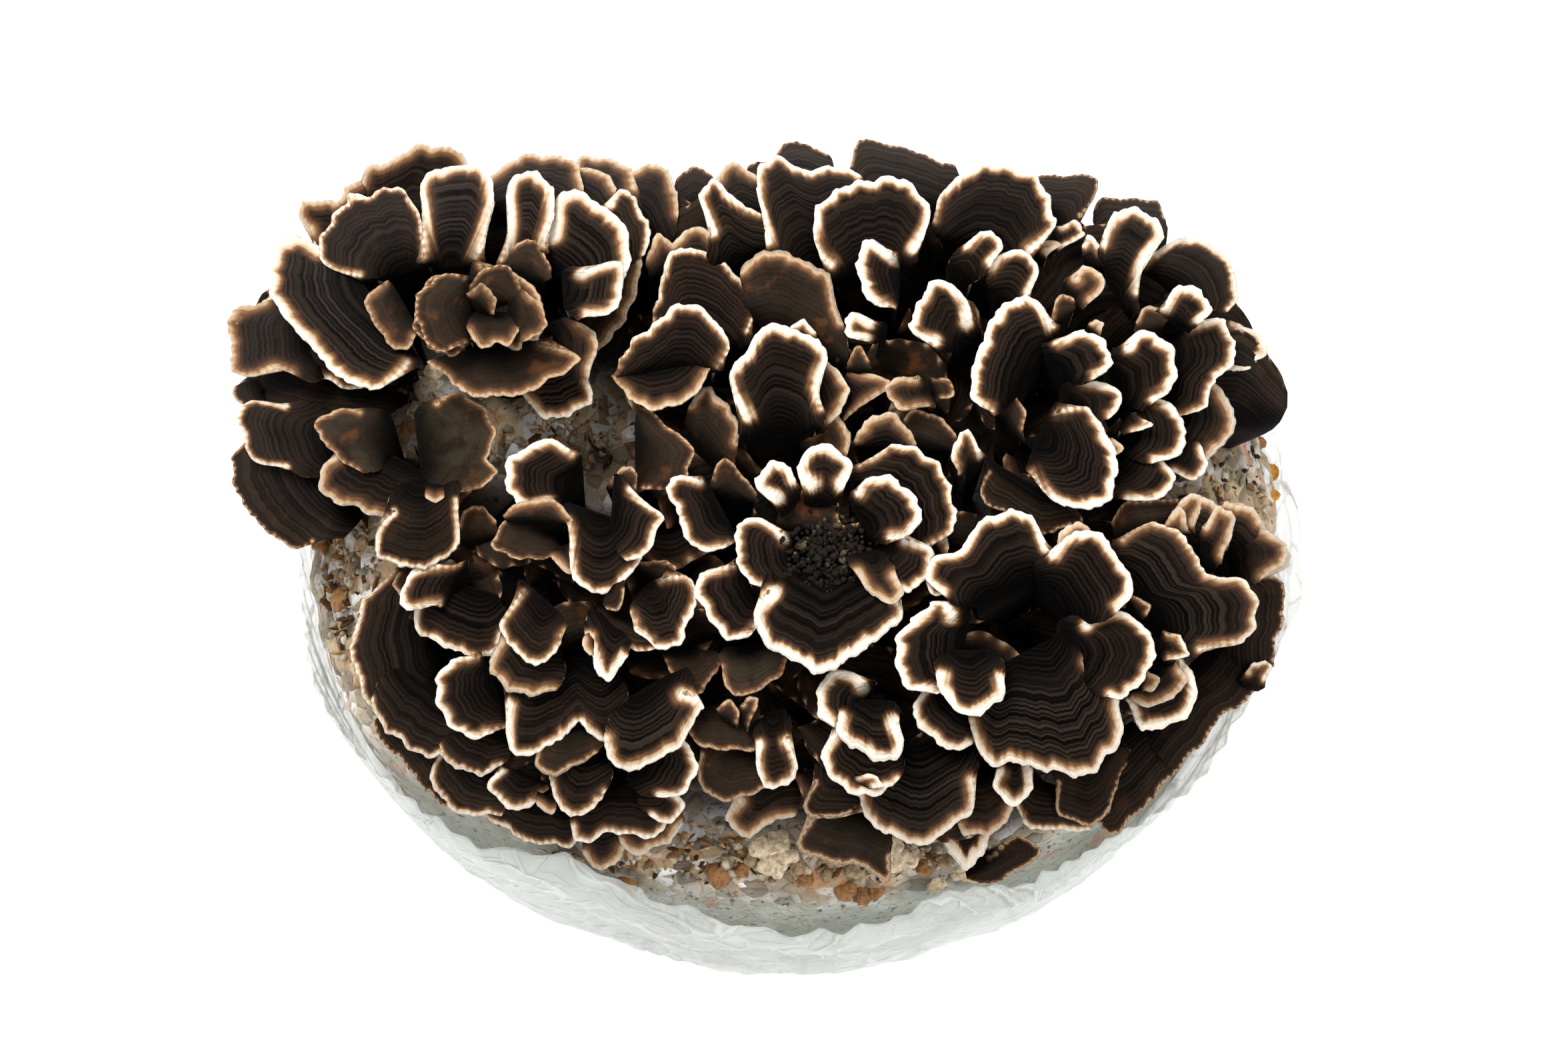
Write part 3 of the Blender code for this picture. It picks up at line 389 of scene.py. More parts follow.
for share in np.linspace(0.0, 1.0, BAG_ROWS):
    z = 0.2 + share * (rim - 0.2)
    lean = (np.minimum(z, RIM_HEIGHT) / RIM_HEIGHT) ** 2
    folds = 1.1 * np.sin(7.0 * angle + 0.6) + 0.9 * np.sin(13.0 * angle + 1.5 * share)
    flare = 2.9 + lean * (1.0 + 1.5 * front_right) + 0.7 * folds * (0.4 + 0.6 * lean)
    phase = 11.0 * angle + 2.2 * np.sin(3.0 * angle + 2.5 * share) + 1.4 * share
    sharp = 1.0 - 2.0 * np.abs(np.mod(phase, 1.0) - 0.5)
    flare = flare + 0.9 * (sharp - 0.5) * (0.3 + share) + 0.3 * wave(23.0 * angle + 9.0 * share, 2.0)
    flare = np.maximum(flare, 1.9) * min(0.45 + 7.0 * share, 1.0)
    pulled_in = np.interp(-z, -heights, over)
    reach = np.where(z > heights[-1], pulled_in, 1.0)[:, None]
    shoulder_xy = BLOCK_CENTRE + (wall_xy - BLOCK_CENTRE) * reach
    rings.append(np.column_stack([shoulder_xy + outward * flare[:, None], z]))
outer = np.array(rings)
inner = outer[::-1].copy()
inner[:, :, :2] -= outward * 0.15
inner[:, :, 2] = np.maximum(inner[:, :, 2], 0.35)
points = np.concatenate([outer, inner]).reshape(-1, 3)
faces = grid_faces(2 * BAG_ROWS, BAG_ANGLES, True)
faces.append(list(range(BAG_ANGLES))[::-1])
faces.append(list(range(len(points) - BAG_ANGLES, len(points))))
bag = mesh_object("clear_bag", points * MM, faces, film.material)
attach(bag, "root")
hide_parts("grow_bag")

# Cap flesh, shared by every cluster: a cream growing edge, a tan band, then near black
# flesh in fine concentric zones with radial velvet fibres; a cream pored underside. Near the
# edge the zones carry a painted glow of light through the thin flesh, and each cap's top is
# darkened towards its root by painted shade.
# Each cap carries zone (mm from its edge, depth of its rings, mm along the edge), finish
# (edge width, how white, how tan), age (how zoned, how old, how mossy) and side (under,
# seed, share of the way out from the root), which the material reads.
flesh = Nodes("dried cap flesh")


def times(a, b):
    return flesh.math("MULTIPLY", a, b)


def plus(a, b):
    return flesh.math("ADD", a, b)


spot = flesh.place()
from_edge, ring, along = flesh.parts("zone")
edge_width, white, tan = flesh.parts("finish")
zoned, old, moss = flesh.parts("age")
under, seed, outward = flesh.parts("side")
warp = times(flesh.math("SUBTRACT", flesh.noise(spot, 420.0, 3.0), 0.5), 0.5)
line = flesh.add("ShaderNodeCombineXYZ", {0: times(along, 2.6), 1: times(ring, 0.35), 2: seed})
fibres = flesh.noise(line, 1.0, 4.0, 0.7)
fray = flesh.math("SUBTRACT", fibres, 0.5)
depth = plus(from_edge, warp)
uneven = flesh.noise(flesh.math("MULTIPLY_ADD", along, 0.3, seed), 1.0, 2.0, dimensions="1D")
width = times(edge_width, flesh.step(uneven, 0.3, 0.7, 0.6, 0.9))
fade = flesh.math("MULTIPLY_ADD", tan, 1.7, 0.38)
inside = flesh.math("SUBTRACT", flesh.math("MULTIPLY_ADD", fray, 0.3, depth), width)
past = flesh.math("DIVIDE", inside, fade)
# fine zones of the dark flesh, close to one a millimetre
ring_at = plus(ring, times(warp, 0.3))
shifted = flesh.math("MULTIPLY_ADD", seed, 9.0, times(ring_at, 0.75))
bands = flesh.noise(shifted, 1.0, 2.0, 0.7, dimensions="1D")
lines = flesh.math("MULTIPLY_ADD", flesh.math("SINE", times(ring_at, 6.6)), 0.5, 0.5)
zone_mark = plus(times(bands, 0.84), times(lines, 0.16))
dark = flesh.mix(flesh.step(zone_mark, 0.3, 0.72), (0.0012, 0.0008, 0.0006), (0.0085, 0.0052, 0.0036))
grey = times(flesh.step(zone_mark, 0.38, 0.78), flesh.math("MULTIPLY_ADD", zoned, 0.8, 0.06))
dark = flesh.mix(grey, dark, (0.032, 0.024, 0.0190))
worn = flesh.mix(flesh.noise(spot, 300.0, 4.0, 0.6), (0.009, 0.006, 0.004), (0.040, 0.028, 0.018))
dark = flesh.mix(times(old, 0.8), dark, worn)
rust = times(flesh.step(flesh.noise(spot, 190.0, 3.0), 0.58, 0.72), times(old, 0.7))
dark = flesh.mix(rust, dark, (0.13, 0.045, 0.014))
mossy = times(flesh.step(flesh.noise(spot, 260.0, 4.0), 0.45, 0.62), moss)
dark = flesh.mix(times(mossy, 0.5), dark, (0.036, 0.032, 0.019))
# from the pale edge inwards: light tan, orange brown, dark brown, then the dark flesh
tan_colour = flesh.mix(flesh.step(past, 0.0, 0.35), (0.50, 0.34, 0.20), (0.17, 0.082, 0.038))
tan_colour = flesh.mix(flesh.step(past, 0.25, 0.75), tan_colour, (0.048, 0.026, 0.016))
# painted glow: within 6 mm of the edge the dark flesh's zones are lifted to mid brown, as light shining
# through the thin flesh
painted_edge_glow = times(flesh.step(depth, 0.5, 6.0, 1.0, 0.0), flesh.math("MULTIPLY_ADD", zone_mark, 1.3, -0.1))
dark = flesh.mix(times(painted_edge_glow, 0.42), dark, (0.054, 0.030, 0.018))
colour = flesh.mix(flesh.step(past, 0.5, 1.15), tan_colour, dark)
cream = flesh.mix(white, (0.13, 0.082, 0.047), (0.95, 0.88, 0.77))
cream = flesh.multiply(0.35, cream, flesh.mix(fibres, (0.72, 0.60, 0.46), (1.0, 1.0, 1.0)))
edge_share = flesh.math("DIVIDE", flesh.math("MULTIPLY_ADD", fray, 0.35, depth), width)
colour = flesh.mix(flesh.step(edge_share, 0.45, 1.15, 1.0, 0.0), colour, cream)
colour = flesh.multiply(0.75, colour, flesh.mix(fibres, (0.5, 0.5, 0.5), (1.4, 1.38, 1.36)))
# painted shade: each cap's top darkens to 0.14 of its colour at the root, where it runs in under the caps
# above
painted_root_shade = flesh.mix(flesh.step(outward, 0.0, 0.6), (0.14, 0.13, 0.12), (1.0, 1.0, 1.0))
colour = flesh.multiply(1.0, colour, painted_root_shade)
pores = flesh.voronoi(spot, 2600.0, feature="DISTANCE_TO_EDGE")
underside = flesh.mix(flesh.step(pores, 0.0, 0.22), (0.70, 0.61, 0.46), (0.34, 0.27, 0.18))
colour = flesh.mix(under, colour, underside)
velvet = flesh.noise(spot, 2300.0, 3.0, 0.7)
height = plus(times(zone_mark, 1.0), flesh.math("MULTIPLY_ADD", fibres, 0.5, times(velvet, 0.3)))
flesh.set(Base_Color=colour, Roughness=0.85, Specular_IOR_Level=0.03, Sheen_Weight=0.01,
          Sheen_Roughness=0.5, Normal=flesh.bump(height, 0.0004, 0.8))

LAYER_STEP = 4.3
KINDS = {
    # how white, how tan, how zoned, how old, how mossy
    "b": (1.0, 0.5, 0.4, 0.0, 0.0),
    "z": (0.82, 0.75, 1.0, 0.0, 0.0),
    "t": (0.55, 1.0, 0.5, 0.12, 0.0),
    "w": (0.8, 0.3, 0.45, 0.1, 0.0),
    "r": (0.22, 0.9, 0.3, 0.75, 0.0),
    "o": (0.2, 0.35, 0.35, 0.8, 0.0),
    "d": (0.12, 0.12, 0.35, 0.15, 0.0),
    "m": (0.18, 0.5, 0.3, 0.8, 1.0),
}


def layer_drop(x, y):
    past = np.maximum(plan_radius(x, y, 2.6) - 0.62, 0.0) / 0.5
    return 4.0 * np.minimum(plan_radius(x, y, 2.6), 1.2) ** 2 + 22.0 * np.minimum(past, 1.3) ** 2


def place_points(uv, layer, rise):
    """World positions in mm of points seen at uv, on their layer and raised."""
    sine, cosine = math.sin(VIEW_ELEVATION), math.cos(VIEW_ELEVATION)
    u, v = uv[..., 0], uv[..., 1]
    height = np.full(u.shape, BLOCK_HEIGHT + layer * LAYER_STEP)
    for _ in range(4):
        scale = (VIEW_DISTANCE * sine - (height - BLOCK_HEIGHT)) / (VIEW_DISTANCE * sine - v * cosine)
        x = scale * u
        y = -VIEW_DISTANCE * cosine + scale * (v * sine + VIEW_DISTANCE * cosine)
        height = BLOCK_HEIGHT + layer * LAYER_STEP - layer_drop(x, y) + rise
    return np.stack([x, y, height], -1)


def smooth_edge(outline, spacing):
    """Evenly spaced points on a smooth curve through the outline."""
    p = np.array([outline[0]] + list(outline) + [outline[-1]], float)
    t = np.linspace(0.0, 1.0, 16, endpoint=False)[:, None]
    spans = []
    for a, b, c, d in zip(p, p[1:], p[2:], p[3:]):
        curve = 2 * b + (c - a) * t + (2 * a - 5 * b + 4 * c - d) * t ** 2
        spans.append(0.5 * (curve + (3 * b - a - 3 * c + d) * t ** 3))
    fine = np.concatenate(spans + [p[-1:]])
    along = np.concatenate([[0.0], np.cumsum(np.linalg.norm(np.diff(fine, axis=0), axis=1))])
    count = max(int(along[-1] / spacing), 12)
    at = np.linspace(0.0, along[-1], count)
    even = np.column_stack([np.interp(at, along, fine[:, 0]), np.interp(at, along, fine[:, 1])])
    for _ in range(int(2.0 * (min(1.5, along[-1] / 25.0) / spacing) ** 2)):
        even[1:-1] = 0.25 * even[:-2] + 0.5 * even[1:-1] + 0.25 * even[2:]
    return even, at


def root_ends(root, edge):
    """Both ends of the line that a cap grows from, across the open side of its outline."""
    chord = edge[0] - edge[-1]
    width = np.linalg.norm(chord)
    chord = chord / width
    gate = (edge[0] + edge[-1]) / 2.0
    growth = np.array((-chord[1], chord[0]))
    if growth @ (edge.mean(0) - gate) < 0:
        growth = -growth
    sideways = np.clip((root - gate) @ chord, -0.3 * width, 0.3 * width)
    back = min((root - gate) @ growth, -1.0)
    centre = gate + chord * sideways + growth * back
    across = chord * max(min(11.0, 0.4 * width), 1.6)
    return centre + across, centre - across


def base_rows(row):
    """Rows from a row of a cap's root down into the block, drawn together like a stem."""
    spot = row[..., :2]
    middle = spot.mean(1, keepdims=True)
    foot = middle + (spot - middle) * 0.5
    pull = np.minimum(1.0, 0.88 / block_radius(foot[..., 0], foot[..., 1]))
    foot = BLOCK_CENTRE + (foot - BLOCK_CENTRE) * pull[..., None]
    foot = np.concatenate([foot, block_top(foot[..., 0], foot[..., 1])[..., None] - 1.5], -1)
    down = np.array((0.25, 0.5, 0.75, 1.0))[:, None, None]
    inwards = down * down * (3.0 - 2.0 * down)
    spots = row[..., :2] + (foot[..., :2] - row[..., :2]) * inwards
    levels = row[..., 2:] + (foot[..., 2:] - row[..., 2:]) * down
    return np.concatenate([spots, levels], -1)


def cap_surface(layer, curl, root, outline, kind, edge_width, number, spacing=0.6):
    """Vertices, faces and finish numbers of one cap, rounded at its edge, down to its foot."""
    edge, arc = smooth_edge(outline, spacing)
    first, last = root_ends(np.array(root, float), edge)
    t = np.linspace(0.0, 1.0, len(edge))[:, None]
    base = first * (1.0 - t) + last * t
    reach = np.linalg.norm(edge - base, axis=1)
    ahead = (edge - base) / reach[:, None]
    ends = np.clip(np.minimum(arc, arc[-1] - arc) / 3.0, 0.0, 1.0)
    smooth_reach = reach
    longest_reach = reach.max()
    scallop = 0.34 * wave(arc / 1.9, number) + 0.24 * wave(arc / 0.8, number + 0.5)
    scallop = scallop + 0.6 * min(longest_reach / 12.0, 1.0) * wave(arc / 3.7, number + 0.25)
    edge = edge + ahead * (scallop * ends)[:, None]
    reach = np.linalg.norm(edge - base, axis=1)
    longest = reach.max()
    half = 0.34 + 0.16 * min(edge_width, 2.0)
    rows = max(int(longest / spacing), 5)
    steps = np.linspace(0.0, 1.0, rows, endpoint=False)
    near_edge = np.array((1.15, 0.8, 0.5, 0.25, 0.08, 0.0)) * half
    shrink = np.minimum(1.0, reach / (5.0 * half))
    top = [steps_at * (reach - near_edge[0] * shrink) for steps_at in steps]
    top += [reach - off * shrink for off in near_edge]
    bottom = [reach - off * shrink for off in near_edge[-2::-1]]
    bottom += [(reach - near_edge[0] * shrink) * s for s in np.linspace(1.0, 0.16, max(rows // 4, 3))[1:]]
    spans = np.array(top + bottom)
    count = len(spans)
    uv = base[None] + ahead[None] * spans[..., None]
    beyond = (first - last) / np.linalg.norm(first - last)
    out_share = np.clip(spans / reach, 0.0, 1.0)
    swell = np.sin(np.pi * out_share)
    bulge = 0.09 * longest * swell + 0.35 * wave(out_share * 7.0, number + 3.0) * swell
    uv = uv + ((1.0 - 2.0 * t[:, 0]) ** 3 * bulge)[..., None] * beyond
    gap = uv[:, :, None, :] - edge[None, None, ::2, :]
    from_edge = np.sqrt((gap ** 2).sum(-1).min(-1))
    outer = spans > reach - 1e-6
    from_edge[outer] = 0.0
    share = spans / np.maximum(reach, 1e-6)
    lift = curl * (reach / longest) ** 2 * share ** 2
    ripples = 0.75 * wave(arc / 5.5, number + 2.0) + 0.35 * wave(arc / 2.4, number + 4.0)
    lift = lift + share ** 2 * ends * ripples * min(longest / 14.0, 1.0)
    lift = lift + 0.22 * np.sin(from_edge * 1.5 + number) * (1.0 - np.exp(-from_edge / 3.0)) * share
    lift = lift - 0.5 * np.exp(-from_edge / 1.3)
    dive = np.clip(1.0 - share / 0.38, 0.0, 1.0) ** 2
    beside = (1.0 - np.clip(np.minimum(arc, arc[-1] - arc) / 5.0, 0.0, 1.0)) ** 2
    lift = lift - min(0.26 * longest, 4.0) * dive - 1.5 * beside * (1.0 - share)
    lift = lift + 0.12 * share * wave(arc / 0.9, number + 5.0)
    round_off = np.sqrt(np.clip(1.0 - (1.0 - np.clip(from_edge / half, 0.0, 1.0)) ** 2, 0.0, 1.0)) * half
    is_top = (np.arange(count) < len(top))[:, None]
    thick = half * 2.0 + 0.05 * from_edge
    lift = lift + np.where(is_top, round_off - half, -half - round_off - (thick - 2.0 * half))
    points = place_points(uv, layer, lift)
    stem = np.concatenate([base_rows(points[-1:]), base_rows(points[:1])[::-1]])
    points = np.concatenate([points, stem])
    total = len(points)
    n = points.shape[1]
    faces = grid_faces(total, n, False)
    last_row = (total - 1) * n
    faces += [[last_row + i, last_row + i + 1, i + 1, i] for i in range(n - 1)]
    for side in (0, n - 1):
        faces.append([r * n + side for r in range(total)])
    from_edge = np.concatenate([from_edge, np.full((len(stem), n), 20.0)])
    # the feet count as 0.3 of the way out, so the painted root shade darkens them to about 0.57
    outward = np.concatenate([share, np.full((len(stem), n), 0.3)])
    ring = (1.0 - outward) * (0.45 * longest + 0.55 * smooth_reach)
    under_side = np.zeros((total, n))
    under_side[len(top) + 2:count] = 1.0
    white, tan, zoned, old, moss = KINDS[kind]
    side = np.clip((reach / longest - 0.25) / 0.5, 0.12, 1.0)
    narrowed = np.tile(edge_width * side, (total, 1))
    age = np.tile((zoned, old, moss), (total, n, 1))
    # the feet take the old flesh's dark brown: partly their own dark base, partly painted shade where they
    # run down under the caps
    age[count:] = (0.2, 0.8, 0.0)
    attributes = {
        "zone": np.stack([from_edge, ring, np.tile(arc, (total, 1))], -1),
        "finish": np.stack([narrowed, np.full((total, n), white), np.full((total, n), tan)], -1),
        "age": age,
        "side": np.stack([under_side, np.full((total, n), number % 97 * 1.37), outward], -1),
    }
    return points.reshape(-1, 3), faces, {key: value.reshape(-1, 3) for key, value in attributes.items()}


caps_made = 0


def grow_cluster(name, caps, spacing=0.6):
    """One object from the caps of a cluster, each (layer, curl, root, outline, finish)."""
    global caps_made
    all_points, all_faces, finish = [], [], {"zone": [], "finish": [], "age": [], "side": []}
    offset = 0
    for layer, curl, root, outline, look in caps:
        caps_made += 1
        kind, edge_width = look[0], float(look[1:])
        points, faces, attributes = cap_surface(layer, curl, root, outline, kind, edge_width, caps_made,
                                                spacing)
        all_points.append(points)
        all_faces += [[i + offset for i in face] for face in faces]
        offset += len(points)
        for key, value in attributes.items():
            finish[key].append(value)
    piece = mesh_object(name, np.concatenate(all_points) * MM, all_faces, flesh.material)
    for key, values in finish.items():
        field = piece.data.attributes.new(key, "FLOAT_VECTOR", "POINT")
        field.data.foreach_set("vector", np.concatenate(values).ravel())
    return piece



# Back left rosette: an old curled centre inside bright petals and a duller outer ring.
# Caps 10 to 26 mm; near black, grey zoned, with cream white edges up to 2 mm wide.
piece = grow_cluster("detailed_back_left_rosette", [
    (7.6, 2, (-56, 38), [(-57.8, 33), (-58.5, 30.3), (-62, 30), (-65, 32), (-66.8, 36), (-66, 41),
     (-62, 44.6), (-58, 44.4)], "o.3"),
    (7.4, 2, (-52, 39), [(-57.9, 32), (-55, 33), (-51.7, 33), (-48.5, 30.5), (-46.8, 31.5), (-47.3, 34),
     (-44.8, 32.3), (-43.2, 37), (-43, 40), (-45, 42.6), (-50, 45.7), (-55.5, 46.3)], "r.4"),
    (6.7, 1, (-47, 44), [(-50, 49), (-48, 50.3), (-46, 51.3), (-43.5, 49), (-42, 46)], "o.4"),
    (6.4, 0, (-70, 38), [(-72, 43.5), (-75.3, 40.5), (-75, 37), (-71.5, 32.5), (-68, 30.5),
                         (-66.5, 34)], "r.3"),
    (6.2, 5, (-72, 38), [(-84, 50), (-88.5, 53), (-92.4, 50), (-93, 44), (-90.4, 37.5), (-85.4, 31.1),
     (-79.4, 25.8), (-73.9, 24), (-70, 26), (-67.9, 28.8)], "z1.8"),
    (6, 5, (-68, 45), [(-76.5, 44.7), (-82.5, 46), (-84, 50), (-81.5, 56.5), (-77.3, 60), (-72, 62),
     (-68.5, 60), (-65.4, 55), (-65, 48)], "w.8"),
    (6.5, 5, (-60, 46), [(-65, 48), (-65.3, 56), (-66, 62), (-63, 65.5), (-58.5, 65.7), (-54, 64),
     (-52.2, 59.5), (-53.3, 53), (-55.5, 48)], "z1.8"),
    (6.8, 4, (-48, 46), [(-51, 47.5), (-49.6, 54), (-50.4, 60), (-48.7, 63.3), (-45, 63.6), (-42, 60.5),
     (-41.3, 56), (-43, 50)], "z1.8"),
    (6.3, 4, (-42, 45), [(-41.5, 52), (-41, 59.5), (-38, 60), (-32.5, 57), (-28.5, 52.5), (-26.8, 48),
     (-29, 43.7)], "z2.0"),
    (6.9, 3, (-40, 42), [(-36.5, 45), (-33, 46.8), (-29.4, 46.6), (-29.2, 41.5), (-31.5, 37.6),
     (-36, 37)], "z1.6"),
    (5, 2, (-77, 48), [(-85.5, 53), (-87.7, 55), (-85.5, 58), (-80.8, 58), (-79.5, 60.5),
                       (-76.5, 61.8)], "t.8"),
    (5, 2, (-70, 54), [(-76.5, 61), (-75, 64.3), (-71, 65.9), (-68.3, 67), (-65.3, 68.3), (-60, 67.6),
     (-57, 65)], "t.8"),
    (5.2, 2, (-47, 54), [(-53.3, 63.5), (-51.5, 65.6), (-48, 67.6), (-43.5, 67.7), (-38, 65.8),
     (-36.2, 61)], "t.8"),
    (4.6, 1, (-40, 53), [(-37.5, 65), (-33.5, 64.3), (-30.2, 60.5)], "t.8"),
    (4.8, 2, (-34, 50), [(-31.3, 57.5), (-30, 60), (-26.5, 58.3), (-24, 52.5), (-25, 48.5)], "w1.0"),
    (4.6, 1, (-38, 43), [(-26, 50), (-25.3, 47), (-26.8, 40), (-29.5, 35.5), (-33.5, 31)], "t.8"),
    (6.9, 1, (-50, 32), [(-64.5, 29), (-62, 26.5), (-56, 23), (-50, 22.8), (-42, 25), (-36.8, 29.3),
     (-38, 31), (-44, 32.4)], "r.5"),
    (5.6, 1, (-42, 32), [(-36.5, 36), (-34.2, 34), (-34.2, 30), (-35.2, 26)], "t.8"),
    (5.5, -1, (-43, 29), [(-46.8, 22.5), (-43, 18.8), (-38, 19.3), (-34.4, 22), (-35.2, 25.7)], "z1.0"),
    (8, 3, (-54, 39), [(-56.5, 43), (-53.8, 46.5), (-49.8, 46.3), (-47.5, 42.5)], "o.3"),
    (8.1, 3, (-50, 38), [(-46.3, 41.5), (-43.2, 38.5), (-43.8, 34.3), (-47, 32.6)], "r.3"),
    (8.1, 4, (-53, 38), [(-57, 34.5), (-54.8, 31.6), (-52, 32.8), (-50, 31.5), (-47.8, 34.5)], "r.4"),
    (8.4, 2, (-57, 38.5), [(-57.5, 44.2), (-62, 45), (-66.3, 41), (-66, 35), (-62, 31),
                           (-57.5, 32.5)], "o.3"),
    (8.5, 3, (-55, 39), [(-57, 41.5), (-54.5, 43.2), (-52, 41), (-52.3, 38)], "r.3"),
])
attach(piece, "root")
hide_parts("back_left_rosette")

# Shelves on the left edge, flat against the film.
# Caps 8 to 25 mm, dull brown with narrow tan or grey edges.
piece = grow_cluster("detailed_left_edge_shelves", [
    (4.8, 0, (-84, 32), [(-94, 40.4), (-97.5, 39.5), (-99.7, 37), (-100, 32), (-100, 28), (-96, 26),
     (-93, 28.2), (-89, 27)], "t.6"),
    (4.4, 0, (-79, 31), [(-87.5, 30.6), (-87.9, 28), (-85, 26), (-82, 25.5), (-78, 23.8), (-74, 25)], "b.8"),
    (2.9, 0, (-77, 26), [(-97.7, 26), (-99.3, 24.5), (-98.5, 22), (-92, 20), (-84, 19), (-74, 18.5)], "d.4"),
    (3.5, -1, (-79, 14), [(-90, 21.2), (-96, 22.3), (-98.4, 19), (-97, 14), (-95, 10.8), (-90, 10)], "w.8"),
    (2.6, -1, (-80, 9), [(-95, 16.5), (-99.3, 12), (-98.5, 5), (-94.5, -1), (-88, -4.8), (-84.5, -3)], "d.4"),
    (3.3, 0, (-92, 21), [(-99.4, 24.8), (-99.4, 23), (-98, 21.5)], "d.4"),
])
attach(piece, "root")
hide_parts("left_edge_shelves")

# Mossy cluster behind the bare patch on the left.
# Old caps 14 to 20 mm, brown with green patches, one with a pale edge.
piece = grow_cluster("detailed_left_mossy_cluster", [
    (5.2, -1, (-71, 15), [(-76.5, 20), (-80, 20.9), (-84, 19), (-84.3, 16), (-81, 12.3), (-77, 9.5)], "m.4"),
    (4.8, -2, (-70, 12), [(-80.9, 12), (-84, 9.5), (-83, 5), (-78, 3.1), (-71, 0.3), (-66, 3)], "t.8"),
    (5.6, -2, (-65, 8), [(-59, 4), (-58.7, -1), (-59, -5.3), (-64, -8), (-69, -8.7), (-73.3, -5.5),
     (-73.2, -0.5), (-70, 2)], "w1.0"),
    (5.3, 0, (-66, 13), [(-62.6, 21.5), (-59, 24), (-53.3, 20), (-51.6, 15), (-54.5, 12), (-51.5, 9),
     (-56, 5.5), (-60.5, 5)], "m.4"),
    (5.7, 0, (-63, 7), [(-64.5, 4.3), (-63, 3.5), (-61.5, 4.3)], "t.6"),
])
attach(piece, "root")
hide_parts("left_mossy_cluster")

# Left front cluster, and the fans at the front left corner.
# Caps 10 to 22 mm stepping down the shoulder, dark with 1 mm cream edges.
piece = grow_cluster("detailed_left_front_cluster", [
    (4.9, 1, (-60, -10), [(-62, -14.8), (-67.5, -15.8), (-69.1, -13.5), (-67.5, -9), (-63, -7.5),
     (-58, -7.5)], "b1.2"),
    (4.4, -2, (-58, -11), [(-66.5, -15), (-66.5, -19), (-62.5, -21.7), (-57.5, -24.2), (-52.6, -24.3),
     (-50.5, -20)], "b1.2"),
    (3.6, -1, (-62, -14), [(-69.5, -9), (-70.4, -11), (-69, -13.8)], "o.4"),
    (3, -2, (-63, -18), [(-70.5, -8.7), (-75.5, -13.5), (-76.9, -18), (-78, -22.5), (-77, -27),
     (-75.5, -33.3), (-68, -34)], "w.8"),
    (3.4, -3, (-63, -29), [(-74.5, -32), (-73, -36), (-69, -39), (-65, -42.6), (-60, -41)], "w.9"),
    (1.9, -3, (-62, -38), [(-74, -36), (-70.1, -42.3), (-66.5, -46), (-61.3, -51.7), (-57, -47)], "d.4"),
    (4.3, -2, (-54, -30), [(-55, -24), (-60.5, -24.7), (-63.2, -30), (-60.5, -36), (-55.5, -39.1),
     (-50.5, -37)], "b1.4"),
    (3.3, -2, (-54, -34), [(-61, -34), (-63.5, -38.5), (-60, -43.4), (-55, -45.6), (-50.5, -43.5)], "w1.0"),
    (2.3, -2, (-54, -41), [(-62, -41), (-63.5, -46), (-60.9, -51), (-56.5, -53), (-51, -53)], "w.9"),
    (3, -2, (-47, -45), [(-51, -44.5), (-53.6, -47.3), (-50.5, -51.3), (-47, -52.1), (-42.5, -48.2)], "b1.2"),
    (1.6, -3, (-46, -48), [(-54, -53), (-50, -56), (-46.5, -57.6), (-42, -57.8), (-39, -59),
                           (-37, -57)], "w.8"),
])
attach(piece, "root")
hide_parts("left_front_cluster")

# Left middle cluster, between the front corner and the round caps.
# Caps 8 to 20 mm, dark brown with thin cream and tan edges.
piece = grow_cluster("detailed_left_middle_cluster", [
    (6.5, 0, (-44, -13), [(-47, -12.3), (-51, -17.5), (-50.8, -20.5), (-48.3, -23), (-45, -26),
     (-41.3, -24.3), (-39.3, -19)], "b1.0"),
    (5.6, -1, (-44, -20), [(-51.3, -21.5), (-53, -25), (-50, -30.3), (-46.5, -31.5), (-41, -30.3)], "t.9"),
    (4.9, -2, (-40, -24), [(-49.7, -33), (-50.4, -40), (-48.3, -42.4), (-44, -41.5), (-40.2, -39.3),
     (-37.3, -35), (-35.5, -38.3), (-31.5, -40.2), (-28.3, -35)], "b1.4"),
    (5.1, 0, (-43, -1), [(-40.5, -5.5), (-44, -7), (-50, -6), (-52.6, -4), (-50, 0.5), (-45, 2)], "o.4"),
    (5.7, 0, (-39.5, -4), [(-41.9, -6.5), (-39, -9.3), (-36.2, -7), (-37, -4.8)], "t.8"),
    (3.9, 0, (-55, -4), [(-58.5, -0.5), (-57.5, 2), (-54.5, 3), (-52, 0.5)], "o.5"),
])
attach(piece, "root")
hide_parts("left_middle_cluster")

# Small round cluster left of the centre.
# Caps 10 to 16 mm, near black, cream edges 1.2 to 1.6 mm.
piece = grow_cluster("detailed_left_centre_round_cluster", [
    (5.8, 1, (-38, 7), [(-38, 12.5), (-42.5, 15.7), (-46.2, 14), (-50, 11), (-49.6, 5.5), (-46, 2.5),
     (-42, 3.5)], "b1.6"),
    (5.9, 0, (-34, 2), [(-39, 0.5), (-38, -10), (-33.5, -12.8), (-29, -10.8), (-25.5, -8),
                        (-26, -4)], "b1.2"),
    (6.4, 0, (-31, 4), [(-28.4, -7), (-25, -5.5), (-23, -1.5), (-21.5, 1), (-24, 3), (-27.5, 6)], "b1.2"),
    (5.5, 0, (-29.5, 5), [(-31.5, 7.5), (-29, 9.8), (-26, 9), (-26.5, 6.5)], "o.5"),
    (6, 0, (-45, 0), [(-50.4, 1.5), (-48, 4), (-41.5, 4), (-38, 0.5)], "r.5"),
])
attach(piece, "root")
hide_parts("left_centre_round_cluster")

